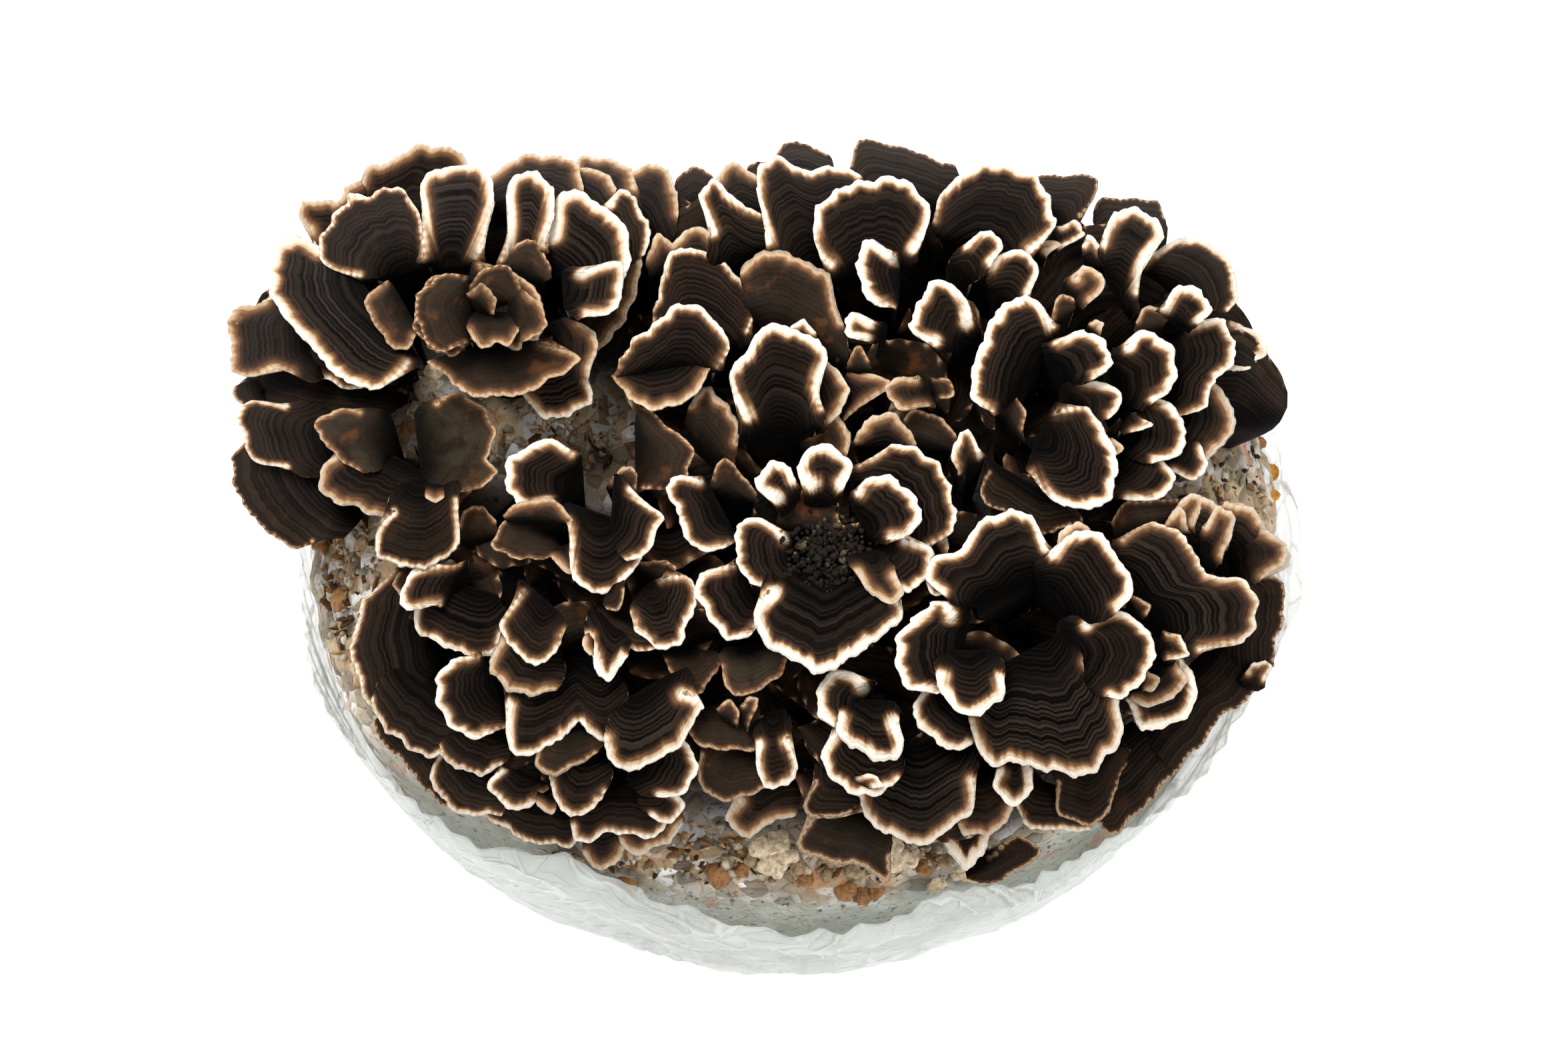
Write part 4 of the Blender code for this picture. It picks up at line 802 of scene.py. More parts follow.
# Ragged cap and the fans behind it, left of the centre.
# Caps 8 to 24 mm, old brown and dark, edges tan to cream.
piece = grow_cluster("detailed_ragged_cap_cluster", [
    (6.7, 1, (-20, 27), [(-30.5, 27), (-29, 30.7), (-25.5, 34.3), (-22.2, 36), (-20.5, 39.2),
     (-15.5, 39.5), (-11.8, 36.5), (-9.9, 31.5), (-12, 28)], "b1.2"),
    (6.5, 1, (-22, 25), [(-12.5, 29), (-15, 25.2), (-17.5, 21.6), (-22.5, 20.3), (-27.5, 21.5),
     (-30.8, 26)], "t.8"),
    (5.6, 1, (-14, 12), [(-16.8, 21.5), (-13.8, 25.2), (-10.5, 21.5), (-7.7, 18), (-8.5, 14)], "r1.0"),
    (5.9, 0, (-23, 12), [(-26, 21), (-22.5, 19.5), (-19.8, 16.4), (-17, 14.5), (-17, 9.5), (-21, 6),
     (-25.8, 6.5)], "o.4"),
    (6.3, 0, (-12, 3), [(-15, 7.6), (-19, 8.7), (-21, 5.5), (-19.4, 2), (-17.5, -3), (-14, -6),
     (-9, -3.6)], "b1.2"),
    (5.7, 2, (-9, 4), [(-13, 8), (-11.5, 11.2), (-9, 10.5), (-5, 5.5)], "o.4"),
    (5.8, 1, (-14, 31), [(-23.8, 35.5), (-22.2, 45), (-19.5, 49.7), (-15, 49), (-12, 47.2),
     (-7.5, 44.5), (-5, 39.5), (-6.8, 34)], "w1.0"),
    (5.1, 1, (-15, 43), [(-20.3, 50.3), (-17.8, 53.2), (-14.8, 53), (-11.5, 50), (-10.8, 47)], "t.8"),
    (6.2, 3, (-8, 46), [(-13, 52.5), (-15.3, 59), (-12, 61.8), (-9.3, 59), (-4.3, 55.8)], "b1.3"),
    (5, 1, (-6, 53), [(-12.5, 62), (-9, 65.2), (-5.3, 63.2)], "t.8"),
    (4.7, 1, (-22, 44), [(-24.8, 48), (-23, 52.5), (-20.3, 50.5)], "t.6"),
])
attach(piece, "root")
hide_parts("ragged_cap_cluster")

# Back edge caps, pressed flat where the film stood.
# Caps 8 to 18 mm, dull and dark with hardly any pale edge.
piece = grow_cluster("detailed_back_edge_caps", [
    (4.2, 1, (-29, 54), [(-37.5, 62), (-38, 67.3), (-33, 66.7), (-28, 65.3), (-27, 61)], "t.8"),
    (4.1, 1, (-23, 50), [(-27.5, 64), (-25, 65), (-22, 64.4), (-19.6, 61.5), (-19, 56)], "t.8"),
    (3.6, 1, (-16, 55), [(-19.5, 62.5), (-16.3, 65.2), (-13, 63.3)], "d.4"),
    (4.8, 1, (2, 58), [(-6.5, 65), (-2, 67.2), (0, 70), (4.5, 69.3), (8.2, 67.3)], "d.4"),
    (4.9, 2, (22, 55), [(12, 65), (13.5, 70), (18, 70), (24, 68), (31, 65.2)], "d.4"),
])
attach(piece, "root")
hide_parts("back_edge_caps")

# Central rosette of round caps about a granular core.
# Caps 12 to 22 mm, near black, with the colony's broadest white edges, 2.2 mm.
piece = grow_cluster("detailed_central_rosette", [
    (7.9, 2, (1, 2.5), [(-1.3, 4.4), (-4.4, 5.3), (-4.7, 8.3), (-2, 11.3), (0.8, 10.6), (2, 7.5)], "b1.8"),
    (7.7, 3, (6.5, 3), [(4.8, 7), (2.2, 9.2), (3, 12.6), (6.5, 14.3), (10.5, 12.8), (12.6, 10),
     (10.5, 7)], "b2.0"),
    (7.6, 1, (14, 0), [(13.2, 5.5), (14.5, 8), (18.5, 8.6), (23, 5.2), (24.7, 1), (22.5, -2.6),
     (18.9, -3)], "b1.7"),
    (6.5, 1, (17, 1), [(13.5, 10.5), (20, 13.8), (26, 12.5), (29.5, 8), (31.2, 4), (29.8, -2),
     (26, -4.2)], "b1.0"),
    (6.9, 0, (17, -3), [(22, -3.2), (26.5, -4.3), (27.2, -8), (24.3, -11.5), (21.5, -13), (17, -10)], "b1.3"),
    (7.4, 0, (13, -5), [(13, -9), (15, -12.5), (18.5, -14.8), (21.8, -13.5), (20, -9)], "t1.0"),
    (7, -1, (2, -6), [(0, -3), (-4, 1), (-8.7, -1.5), (-8, -7.7), (-5, -12), (-0.5, -11.5)], "b1.2"),
    (7.1, 0, (8, -8), [(-2.3, -12.5), (-5, -14.5), (-5.4, -17), (-4, -21.5), (2, -25.5), (6.5, -27.7),
     (12.5, -23.7), (17, -21.4), (22, -17), (20.8, -14.3)], "b2.2"),
    (6.8, 0, (5, -3), [(-0.5, 3), (3, 5.5), (9.8, 4.5), (9.8, 0), (13.5, 0)], "o.3"),
    (7.3, 2, (-1, 15), [(-6.8, 19), (-10.2, 26), (-7, 30.5), (-4.8, 34.2), (0, 35.8), (6, 33.5),
     (8.2, 29.5), (6, 25), (6.8, 20.5)], "b1.8"),
    (6.3, 1, (5, 20), [(8, 29), (11.3, 25.3), (10.8, 20.8), (8.5, 18)], "t1.0"),
    (6, 0, (6, 11), [(4.5, 16), (9.5, 19), (12.2, 15.5), (11.5, 12.5)], "r.8"),
    (6.3, 2, (3, 31), [(-7.8, 45.8), (-3.5, 49.8), (1, 48.5), (7.7, 45.3), (9, 40.5), (10.5, 36.5)], "r1.0"),
    (6.6, 0, (3, 33), [(1.3, 35.5), (3.5, 36.7), (5.8, 34.3)], "b1.0"),
    (6.2, 0, (27, -5), [(28.5, -3), (29.5, -2.7), (29.8, -4.7)], "t.6"),
])
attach(piece, "root")
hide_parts("central_rosette")

# Low round cap left of the rosette, and its neighbours.
# Caps 8 to 20 mm, dark with cream edges 1.2 mm wide.
piece = grow_cluster("detailed_left_low_round_cap", [
    (6.2, 0, (-7, -12), [(-9, -7.6), (-15, -9), (-16.4, -12), (-14.3, -16.5), (-11.5, -20.5),
     (-7.5, -21.1), (-4, -18)], "b1.4"),
    (5.6, 0, (-23, -11), [(-22, -9.8), (-16.3, -9.7), (-15.4, -14.5), (-18, -18.3), (-17.5, -21),
     (-21, -22.5), (-27, -20.5), (-27.7, -15.5)], "b1.2"),
    (5.2, 0, (-24, -9), [(-27, -7), (-22, -6.7), (-19.6, -8.5), (-20.5, -11)], "o.4"),
    (5.9, 0, (-31, -11), [(-32, -15.7), (-29.5, -15.5), (-28.7, -11.5)], "d.5"),
    (5.3, 0, (-29, -17), [(-33.5, -17.5), (-30.5, -21.5), (-26, -23.5), (-23, -22.7)], "w.6"),
])
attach(piece, "root")
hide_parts("left_low_round_cap")

# Dark middle caps, deep between the rosette and the back right.
# Caps 6 to 14 mm, brown to near black.
piece = grow_cluster("detailed_dark_middle_caps", [
    (5.8, 0, (11, 22), [(12, 27.5), (18, 26.6), (19, 24.3), (14.5, 21.3), (11, 18.8)], "t.5"),
    (6.5, 0, (26, 23.5), [(24, 26), (19.5, 26.2), (18.9, 22.5), (22, 20.2), (26.5, 21.3)], "t.6"),
    (5.9, 0, (27, 24.3), [(27, 26), (29.5, 25.8), (30.5, 22.8), (28, 22.3)], "o.4"),
    (5.5, 1, (18, 13), [(12.7, 15), (14.7, 18.5), (18.7, 20.2), (22, 17.8), (23.8, 14.5)], "t.9"),
    (5.3, 1, (26, 13), [(21.8, 19), (23.5, 20.8), (27.5, 19.5), (31, 16)], "o.5"),
    (6, 2, (34.5, 10), [(31.5, 9), (30.2, 12), (33, 17), (34.7, 14.5), (35.5, 12)], "b1.2"),
    (5.6, 1, (41, 16), [(38, 22), (39.3, 24.7), (43.6, 20.6), (43, 17)], "o.4"),
    (6.5, 1, (18, 34), [(14.5, 33), (11, 33.7), (10.6, 36.8), (12.9, 38.1), (16, 36)], "b1.6"),
    (5, 0, (43, 8), [(37, 9), (35, 4.8), (38.5, 2.5), (47, -2), (52.8, 0)], "d.5"),
    (6.2, 0, (11, 29), [(9.8, 30.7), (10.8, 32), (11.7, 31.5)], "o.4"),
    (6.2, 0, (13.5, 27), [(11.5, 29), (13.5, 32), (15.5, 29)], "o.4"),
])
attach(piece, "root")
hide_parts("dark_middle_caps")

# Back right cluster: upright dark fans with bright edges.
# Caps 8 to 22 mm, edges 1.2 to 2 mm.
piece = grow_cluster("detailed_back_right_cluster", [
    (6.1, 2, (6, 45), [(-2.9, 50.7), (-4.7, 58.5), (-5, 63.5), (-1, 66.6), (3.8, 63.2), (8, 65.6),
     (14, 62.7)], "b1.3"),
    (6.4, 2, (16, 44), [(8.5, 46.5), (5.2, 50), (6, 54), (5.4, 57), (10, 60), (15, 62.6), (20, 62.5),
     (26.2, 57.5), (25.8, 53), (23, 49)], "b1.5"),
    (7.2, 3, (20, 44), [(20, 48), (15.5, 51.2), (13, 47.8), (14, 42.5), (15.2, 39.2), (19.7, 38.8)], "b2.0"),
    (5.8, 3, (36, 48), [(27, 54.5), (28.5, 60), (34, 64.7), (41, 64.8), (48, 59.5), (49, 53),
                        (44, 49)], "b1.5"),
    (6.4, 2, (31, 44), [(33, 50.3), (36.5, 53.4), (39.4, 50), (37.5, 47)], "b1.2"),
    (6.2, 2, (40, 39), [(37, 46), (39.5, 48.6), (44, 48.5), (45.9, 45.2), (44, 41)], "b1.2"),
    (6.8, 2, (33, 32), [(27, 32.5), (24, 33.3), (23, 36.5), (25.3, 42.5), (29, 44), (33.3, 40),
                        (33, 36)], "b1.6"),
    (4.5, 1, (50, 52), [(45, 63), (50, 64.2), (56.5, 63.5), (56.5, 59.5), (53, 55)], "d.4"),
    (5, 2, (48, 49.5), [(49.8, 53.5), (53, 54.8), (54.2, 52), (50, 49.5)], "w1.0"),
    (5.2, 0, (47, 47), [(45.2, 50), (47.5, 51), (49.9, 50), (46.8, 48.5)], "t.8"),
])
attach(piece, "root")
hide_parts("back_right_cluster")

# Right back corner cluster.
# Caps 6 to 18 mm, dark with broad cream edges.
piece = grow_cluster("detailed_right_back_corner_cluster", [
    (5.3, 2, (61, 40), [(57.3, 50.5), (59, 55.5), (61.5, 57.5), (67, 55.7), (69, 52), (65, 46.9),
     (63.8, 41)], "b1.8"),
    (3.6, 1, (63, 49), [(56, 57), (58, 59.6), (67, 59.2), (68.8, 56)], "d.4"),
    (4.6, 2, (68, 43), [(64.5, 46.5), (68, 49.8), (74.5, 51.7), (80.5, 47.3), (82.8, 42), (80, 38)], "w1.3"),
    (5.6, 2, (51, 41), [(52.7, 44), (54, 46.4), (58.2, 43.2), (55, 39.5)], "t.8"),
    (5.4, 2, (69.5, 36), [(68.6, 39), (70.5, 42.3), (74.5, 43), (77.2, 38.5), (75, 36)], "b1.8"),
    (5.1, 0, (56, 46), [(54, 50.5), (55, 52.5), (56.7, 50.8), (57.8, 48.7)], "b1.2"),
    (5.2, 0, (66, 34), [(63.6, 36.5), (65.5, 39.3), (69, 38)], "o.6"),
])
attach(piece, "root")
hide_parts("right_back_corner_cluster")

# Round caps on the right, one above the other.
# Caps 8 to 24 mm, near black, cream edges 1.3 to 1.8 mm.
piece = grow_cluster("detailed_right_round_cap_cluster", [
    (6.7, 1, (47, 16), [(49, 20), (54, 21), (58, 17.3), (59.5, 13), (61, 10), (58, 4), (52, 2.3),
     (46.4, 5.5), (44.3, 9.7)], "b1.8"),
    (7, 1, (49, 28), [(49, 32.8), (54.5, 35), (58.8, 31.5), (59, 27.8), (55.5, 25.8)], "b1.5"),
    (6.3, 0, (51, 23), [(54, 25.6), (59.5, 25), (60.8, 21.5), (59, 19)], "b1.3"),
    (6.6, 1, (45, 27), [(48.6, 35.5), (46, 39.7), (40.5, 40.4), (37.2, 36), (34, 30.5), (34.3, 26),
     (33.8, 22), (37.5, 20)], "b1.8"),
    (5.8, 0, (60, 25), [(62.3, 32), (64, 34.8), (70, 32.2), (71.1, 28), (70.3, 24.2), (67, 22)], "b1.7"),
    (5.3, 0, (62, 17), [(67.5, 22.5), (71.5, 20.3), (72.8, 16.5), (71, 12), (67, 10.9)], "b1.5"),
    (5, 0, (60, 10), [(69, 10.5), (71, 8), (67, 4.2), (62, 4)], "b1.3"),
    (5.9, 1, (61, 18), [(63, 16.3), (66.6, 17.5), (64.5, 18.8)], "b.7"),
    (6, 0, (50, 36), [(48.2, 37), (49.5, 40.8), (51.8, 41), (52.5, 40)], "o.5"),
    (6.3, 0, (56, 34), [(55.5, 36.2), (56.5, 36.8), (57.8, 36), (57, 34.8)], "t.6"),
    (6, 0, (58, 13), [(59.7, 15), (61, 14), (61.3, 13), (60, 12.2)], "t.6"),
])
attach(piece, "root")
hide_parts("right_round_cap_cluster")

# Shelves on the right edge.
# Caps 8 to 18 mm, grey brown with cream edges.
piece = grow_cluster("detailed_right_edge_shelves", [
    (4.6, 0, (70, 29), [(73, 35.6), (79, 36.9), (81.2, 33), (81.2, 28.5), (77, 24.2), (76, 21),
     (71.5, 19.2)], "b1.3"),
    (3.7, 0, (76, 31), [(81, 36.4), (86, 34), (87.6, 31), (84.5, 28), (80, 27)], "w1.5"),
    (3.9, -1, (71, 19), [(78, 25), (81, 22), (81.2, 17.5), (78.3, 13), (76, 10.9)], "t1.2"),
    (4.3, 0, (70, 13), [(75.5, 13.5), (76.2, 10), (73.5, 7.8), (70.5, 9)], "b1.2"),
])
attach(piece, "root")
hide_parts("right_edge_shelves")

# Tan shelves by the bare patch on the right.
# Caps 6 to 16 mm, tan brown.
piece = grow_cluster("detailed_right_tan_shelves", [
    (4.4, 0, (66, -2), [(59, 0), (61, 3), (66, 4.4), (71, 4.3)], "o.4"),
    (4.7, 0, (74, -4), [(69, 0), (71.5, 4), (75.5, 4.8), (78, 3), (81.3, 0.5), (80, -4)], "t1.0"),
    (4, -1, (80, -5), [(80, 3.9), (84, 3), (86.5, -0.7), (91, -5), (90.5, -8.5), (86, -10)], "t1.2"),
    (5, 0, (72, -2), [(68.8, 0), (71, 2.8), (72.5, 1), (72.5, -1)], "t.9"),
    (4.9, 0, (74, -3), [(70.5, 2.5), (73.3, 5.2), (76, 4), (74, 0)], "t.9"),
    (4.9, 0, (76, -6), [(76, -0.5), (78.5, 3.5), (81.5, 0.5), (79.2, -6)], "t.9"),
    (4.4, 0, (80, -4), [(79.5, 3.7), (84, 3), (86, 0.3)], "t.9"),
    (4.2, 0, (82, -6), [(84.5, -0.8), (88.5, -2.5), (91.2, -6), (86.5, -10)], "t.9"),
])
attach(piece, "root")
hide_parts("right_tan_shelves")

# Zoned fan on the right, with the caps below it on the shoulder.
# Caps 8 to 30 mm, the fan finely zoned in grey and brown.
piece = grow_cluster("detailed_right_zoned_fan", [
    (2.4, -1, (76, -19), [(84, -10), (90.5, -10.5), (90, -17.5), (88.4, -22.5), (88.5, -26)], "d.4"),
    (2.3, -1, (71, -29), [(87, -25.5), (87, -28.3), (83, -32.3), (78.8, -35), (75, -39.8), (71, -45)], "d.4"),
    (5.1, 0, (65, -15), [(61, -3), (64, -0.5), (68.3, -0.4), (73, -3.4), (77, -9.7), (82.5, -9.6),
     (85, -15), (85, -20), (80, -22.6), (75, -22.9)], "z1.0"),
    (4.6, 0, (66, -26), [(62, -32.3), (65, -37.5), (71, -36.4), (74.8, -32), (74.2, -28), (71, -24)], "b2.0"),
    (5.6, 0, (63, -16), [(63, -13.2), (66.2, -14.7), (65.5, -16.8)], "o.5"),
    (5.4, 0, (68, -22), [(69, -20), (71.5, -20.3), (73.2, -23.5), (70, -24.8), (68.8, -24.8)], "b1.0"),
    (5.3, 0, (64.5, -28), [(65.5, -27), (67.7, -28), (66.3, -30.5), (65, -30.2)], "t.7"),
    (2.9, 0, (84, -30), [(83.5, -26.8), (84.5, -25.5), (86.5, -25), (88, -26), (87, -28)], "b1.0"),
    (5, 0, (67, -28), [(62.5, -31.8), (66, -33.7), (70, -31.8), (72.6, -28.5), (71, -25.5)], "t.8"),
])
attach(piece, "root")
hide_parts("right_zoned_fan")

# Front right corner caps.
# Caps 8 to 18 mm, brown, pressed against the film.
piece = grow_cluster("detailed_front_right_corner_caps", [
    (2.1, -2, (57, -39), [(70.5, -45.5), (67, -49), (62.5, -53.5), (59.3, -56.4), (56, -53.5)], "d.5"),
    (3.7, -1, (55, -41), [(49.4, -47), (49.1, -52), (52.5, -53.7), (56, -55), (58.9, -52), (60, -48),
     (62, -43)], "d.6"),
    (3.1, -1, (48, -47), [(42, -51.5), (45, -55.6), (50, -55.7), (55.5, -55.5)], "w.9"),
    (4.6, -1, (42, -42), [(38.8, -45), (37.4, -48), (41.5, -51.2), (44.9, -48), (44.3, -44)], "b1.6"),
    (3.4, -1, (36, -44), [(31.5, -55), (33, -56.8), (38.5, -55.2), (41.3, -51.8)], "t.8"),
    (1.6, 0, (41, -56), [(33.5, -64.5), (38.5, -64.5), (45, -61.3), (46.5, -58.5), (42, -56.3),
     (37, -60.5)], "d.5"),
])
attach(piece, "root")
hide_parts("front_right_corner_caps")

# Front right cluster: the large fans in front of the rosette.
# Caps 14 to 32 mm, zoned grey and black, edges 1.5 to 2 mm.
piece = grow_cluster("detailed_front_right_cluster", [
    (6.8, 0, (33, -20), [(30.3, -16.5), (27.5, -13.7), (24, -16.5), (20.4, -20), (20.6, -26),
     (22, -29.6), (27.5, -31)], "b1.8"),
    (7.4, 0, (33, -23), [(28, -27.5), (27.5, -30.5), (31, -33.8), (35.5, -34.5), (39.7, -31),
     (39.5, -27.4)], "b2.0"),
    (5.6, -1, (31, -32), [(25, -30.3), (23.4, -33.5), (25.5, -38), (30.5, -41.2), (34, -40)], "b1.6"),
    (6.3, -1, (46, -22), [(33.4, -36), (34.5, -39.3), (37.5, -44.8), (42.3, -43), (45, -44.7),
     (52, -45), (56, -45.2), (61, -39.5), (61, -35), (59.3, -29), (55, -25)], "z1.6"),
    (7.1, 1, (49, -14), [(48.6, -5.5), (52, -1.2), (57, -2), (61, -7.5), (62.7, -13.5), (60, -16)], "b1.7"),
    (6.5, 0, (51, -23), [(54.5, -18.5), (58, -16), (63, -17), (67, -23), (64.8, -29), (60.8, -32.3),
     (58.5, -31)], "b1.5"),
    (7, 1, (42, -12), [(47.3, -4.5), (45.5, 0), (41, 2.4), (35.5, 0.5), (31, -5), (27.3, -6.5),
     (25.6, -11), (29, -13)], "b1.5"),
    (6.6, 0, (30, -8), [(25.5, -10.5), (26.7, -12.8), (28, -13.2), (30, -12)], "b1.0"),
    (6.9, 0, (53, -5), [(49.5, -4.5), (49.3, -2.5), (52, 0.3), (54.8, -0.7)], "t.9"),
])
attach(piece, "root")
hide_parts("front_right_cluster")

# Front fan cluster, right of the middle.
# Caps 10 to 24 mm, dark, zoned, cream edges 2 mm.
piece = grow_cluster("detailed_front_fan_cluster", [
    (6.1, -1, (15, -31), [(14.5, -29.5), (13, -27), (9, -27), (5.8, -30.7), (6.5, -35), (9, -37)], "b2.0"),
    (6.3, -1, (16, -32), [(9.8, -35), (10, -38.5), (16, -42.8), (20.5, -43), (22, -40),
                          (19.7, -35.5)], "b2.2"),
    (5.6, -1, (16, -37), [(9, -38), (6.5, -42), (8, -46.4), (12, -48.6), (16.5, -49.4), (21, -46)], "b1.6"),
    (4.4, -2, (25, -40), [(13.1, -48), (14, -53), (19, -56), (23.5, -58.2), (29.5, -55.8),
     (34.3, -52.5), (34, -46)], "z1.4"),
    (3.4, -2, (10, -44), [(5.5, -47), (3.5, -51), (6, -53.3), (12, -52.5)], "d.8"),
    (2.3, -2, (12, -50), [(5, -53.3), (2.1, -58.5), (6.5, -61.3), (13, -62), (18.6, -64.7),
                          (19.2, -60)], "o.8"),
    (5.8, 0, (14, -43), [(13.3, -46), (16, -45.2), (18.3, -47.5), (16.3, -47.8)], "b1.0"),
    (2.6, 0, (33, -55), [(28.5, -57.5), (31, -61.5), (33, -62.5), (35.7, -60), (37.3, -56.5)], "w2.5"),
])
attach(piece, "root")
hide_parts("front_fan_cluster")

# Old caps in the front middle.
# Caps 8 to 18 mm, brown, worn and partly mossy.
piece = grow_cluster("detailed_front_middle_old_caps", [
    (5.2, -1, (-6, -22), [(-11.2, -26), (-10.5, -29.5), (-6, -31), (-1, -28), (0.5, -25)], "m.4"),
    (4.8, -1, (-17, -23), [(-21.3, -25), (-19.5, -29), (-16.3, -31.4), (-13, -28.4), (-11, -25)], "o.4"),
    (4.3, -1, (-13, -33), [(-17.5, -37.5), (-14.5, -41.2), (-10, -41.1), (-5, -40.7), (-1.5, -38),
     (-4, -35)], "o.5"),
    (4.7, -2, (-2, -34), [(-4.6, -40), (-5.2, -43.5), (-3, -47.6), (1, -47.2), (2.5, -43.5),
                          (0.3, -39)], "b1.3"),
    (3.5, -2, (-8, -38), [(-15, -42), (-15.5, -46), (-12.5, -49.8), (-7.5, -50), (-3, -47.8)], "o.6"),
    (2.6, -3, (-2, -44), [(-8, -50.3), (-10.8, -53.5), (-7.2, -57.5), (-3.5, -54.8), (2, -53)], "t1.0"),
    (5, 0, (-10, -36), [(-12, -33.5), (-10, -31.5), (-8, -34), (-8.5, -36)], "o.5"),
    (5, 0, (-6, -36), [(-7.5, -32.8), (-6.5, -31.5), (-4.5, -31.8), (-6.3, -36.5)], "o.5"),
])
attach(piece, "root")
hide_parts("front_middle_old_caps")

# Front left fan cluster.
# Caps 6 to 24 mm, dark zoned fans, cream edges 1 to 2 mm.
piece = grow_cluster("detailed_front_left_fan_cluster", [
    (5.4, -1, (-22, -28), [(-18.5, -31), (-14.5, -32), (-16, -36.3), (-18.8, -40.5), (-25, -44.3),
     (-31.5, -43), (-32.5, -39)], "z1.6"),
    (5.6, 1, (-31, -17), [(-28.8, -25), (-32.2, -29.4), (-35, -24), (-36, -20)], "b2.0"),
    (4.4, -1, (-27, -42), [(-18.7, -38.5), (-15.3, -43), (-19, -49.2), (-23, -49.5)], "b1.3"),
    (3.7, -1, (-25, -45), [(-20, -48.7), (-18, -50.8), (-21.5, -54.3), (-24.2, -53)], "b1.2"),
    (3.1, -2, (-30, -46), [(-21, -54), (-23.5, -56.8), (-31, -56.3), (-37, -58.2), (-38.4, -55)], "b1.0"),
    (4, -1, (-36, -40), [(-42.4, -44), (-41.9, -50), (-38.5, -52.8), (-34, -51.5), (-32, -48)], "b1.0"),
    (4.6, -1, (-38, -37), [(-44.5, -41), (-45, -44), (-41, -45.5), (-33.5, -41.5)], "o.8"),
    (2.3, -2, (-25, -50), [(-29.5, -58), (-27, -60), (-24, -58.5), (-20.5, -57.7), (-18.2, -54.5)], "t1.0"),
    (2.1, -2, (-32, -53), [(-36.2, -60), (-33, -62.8), (-30, -61.8), (-28.8, -59)], "t.8"),
    (5.9, 0, (-34, -21), [(-36.3, -21), (-36.5, -22.5), (-35, -24)], "t.5"),
    (3.5, 0, (-43, -49), [(-44.5, -51.2), (-42.2, -52.8), (-41.3, -52.2)], "t.6"),
])
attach(piece, "root")
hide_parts("front_left_fan_cluster")

# Low caps deep in the colony, in the gaps between the clusters: young and old ones,
# 6 to 11 mm long, near black, seen only as dark shapes below the others. They fill the gaps
# with dark flesh that stands in for the shade there.
low_caps = []
for _ in range(260):
    u, v = rng.uniform(-86.0, 80.0), rng.uniform(-52.0, 60.0)
    turn, size = rng.uniform(0.0, 2.0 * np.pi), rng.uniform(6.0, 11.0)
    spot = on_block(np.array(u), np.array(v))
    inside = block_radius(spot[0], spot[1])
    if inside > 0.84 or shown(np.array([spot[0]]), np.array([spot[1]]))[0] > 0.05 or len(low_caps) == 120:
        continue
    fan = np.linspace(-1.5, 1.5, 7) + turn
    outline = [(u + size * np.cos(a), v + size * np.sin(a)) for a in fan]
    layer = rng.uniform(1.4, 3.0) + 1.2 * (1.0 - inside)
    low_caps.append((layer, 0, (u, v), outline, ("d.5", "o.5", "d.6", "t.6")[int(rng.integers(0, 4))]))
# a row of them along the back, where the colony leans out over the edge of the block
BACK_ROW = ((-84, 47), (-74, 56), (-66, 62), (-57, 63), (-48, 62), (-39, 61), (-30, 59), (-21, 59),
            (-12, 60), (-3, 61), (7, 62), (17, 63), (27, 61), (37, 60), (47, 58), (57, 54), (66, 49),
            (74, 43), (80, 35))
for u, v in BACK_ROW:
    fan = np.linspace(0.1 * np.pi, 0.9 * np.pi, 8) + 0.35 * np.cos(2.3 * u)
    size = 15.0 + 2.0 * np.sin(1.7 * u)
    outline = [(u + 0.8 * size * np.cos(a), v - size + size * np.sin(a)) for a in fan]
    low_caps.append((3.4 + 0.5 * np.sin(0.9 * u), 1, (u, v - size - 4.0), outline, "d.4"))
piece = grow_cluster("shade_filling_low_caps", low_caps, 1.55)
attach(piece, "root")

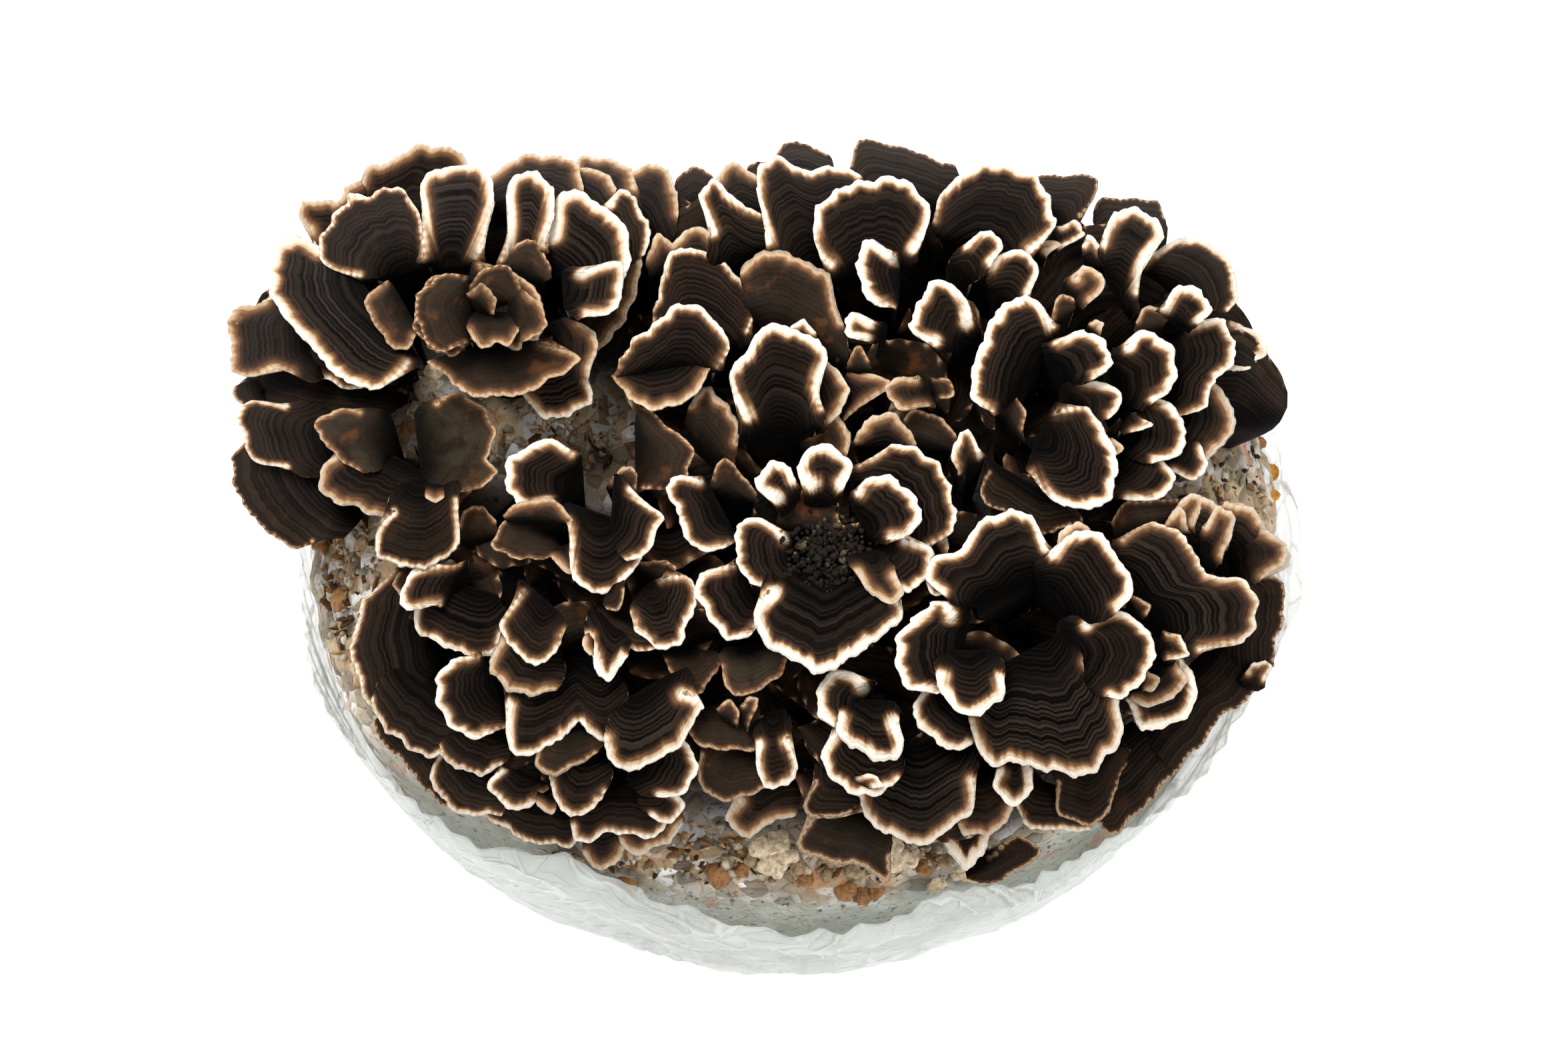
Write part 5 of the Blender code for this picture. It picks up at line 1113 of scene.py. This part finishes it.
# Granular core of the central rosette: beads of young fruiting tissue 0.3 to 1.6 mm
# across, brown with cream points, heaped between the innermost caps.
count = 420
at = rng.normal(0.0, 1.0, (count, 2)) * (3.9, 3.6) + (8.0, -6.0)
from_centre = ((at[:, 0] - 8.0) ** 2 + (at[:, 1] + 6.0) ** 2) ** 0.5
beads = place_points(at, 6.9, -0.12 * from_centre + rng.uniform(-0.8, 0.8, count))
sizes = rng.uniform(0.22, 0.62, (count, 1)) * rng.uniform(0.7, 1.3, (count, 3))
tints = np.where(rng.random((count, 1)) < 0.93, (0.010, 0.0068, 0.0045), (0.06, 0.043, 0.026))
tints = tints * rng.uniform(0.6, 1.4, (count, 1))
core = grains("granular_core", beads, sizes, np.clip(tints, 0.0, 1.0), loose.material, 0.45)
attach(core, "root")

# White table under the part, 1.6 m wide, lit until it is a pure white ground.
table = Nodes("white table")
table.set(Base_Color=(0.92, 0.92, 0.92), Roughness=0.6, Emission_Color=(1.0, 1.0, 1.0),
          Emission_Strength=0.45)
bpy.ops.mesh.primitive_plane_add(size=1.6, location=(0.0, 0.0, 0.0))
floor = bpy.context.active_object
floor.name = "white_table"
floor.data.materials.append(table.material)

# Soft studio light: a large lamp high on the left at the back, a weaker one on the right
# and a white room, which leaves soft shadows that fall to the front right.
LAMPS = (("key lamp", (-0.35, 0.45, 1.05), 0.55, 17.0), ("fill lamp", (0.6, -0.35, 0.9), 0.8, 6.0))
for name, where, size, power in LAMPS:
    lamp = bpy.data.lights.new(name, "AREA")
    lamp.size = size
    lamp.energy = power
    holder = bpy.data.objects.new(name, lamp)
    bpy.context.scene.collection.objects.link(holder)
    holder.location = where
    holder.rotation_euler = (Vector((0.0, 0.0, 0.1)) - Vector(where)).to_track_quat("-Z", "Y").to_euler()
world = bpy.data.worlds.new("white room")
bpy.context.scene.world = world
world.use_nodes = True
world.node_tree.nodes["Background"].inputs["Color"].default_value = (1.0, 1.0, 1.0, 1.0)
world.node_tree.nodes["Background"].inputs["Strength"].default_value = 0.55

# Camera at the picture's own angle: 75 degrees above the table, 550 mm from the colony.
lens = bpy.data.cameras.new("camera")
lens.lens = 70.0
lens.sensor_width = 36.0
lens.dof.use_dof = False
eye = bpy.data.objects.new("camera", lens)
bpy.context.scene.collection.objects.link(eye)
aim = Vector((0.0, 0.0, BLOCK_HEIGHT * MM))
eye.location = aim + Vector((0.0, -math.cos(VIEW_ELEVATION), math.sin(VIEW_ELEVATION))) * VIEW_DISTANCE * MM
eye.rotation_euler = (aim - eye.location).to_track_quat("-Z", "Y").to_euler()
bpy.context.scene.camera = eye
bpy.context.scene.view_settings.view_transform = "Standard"
bpy.context.scene.view_settings.look = "None"
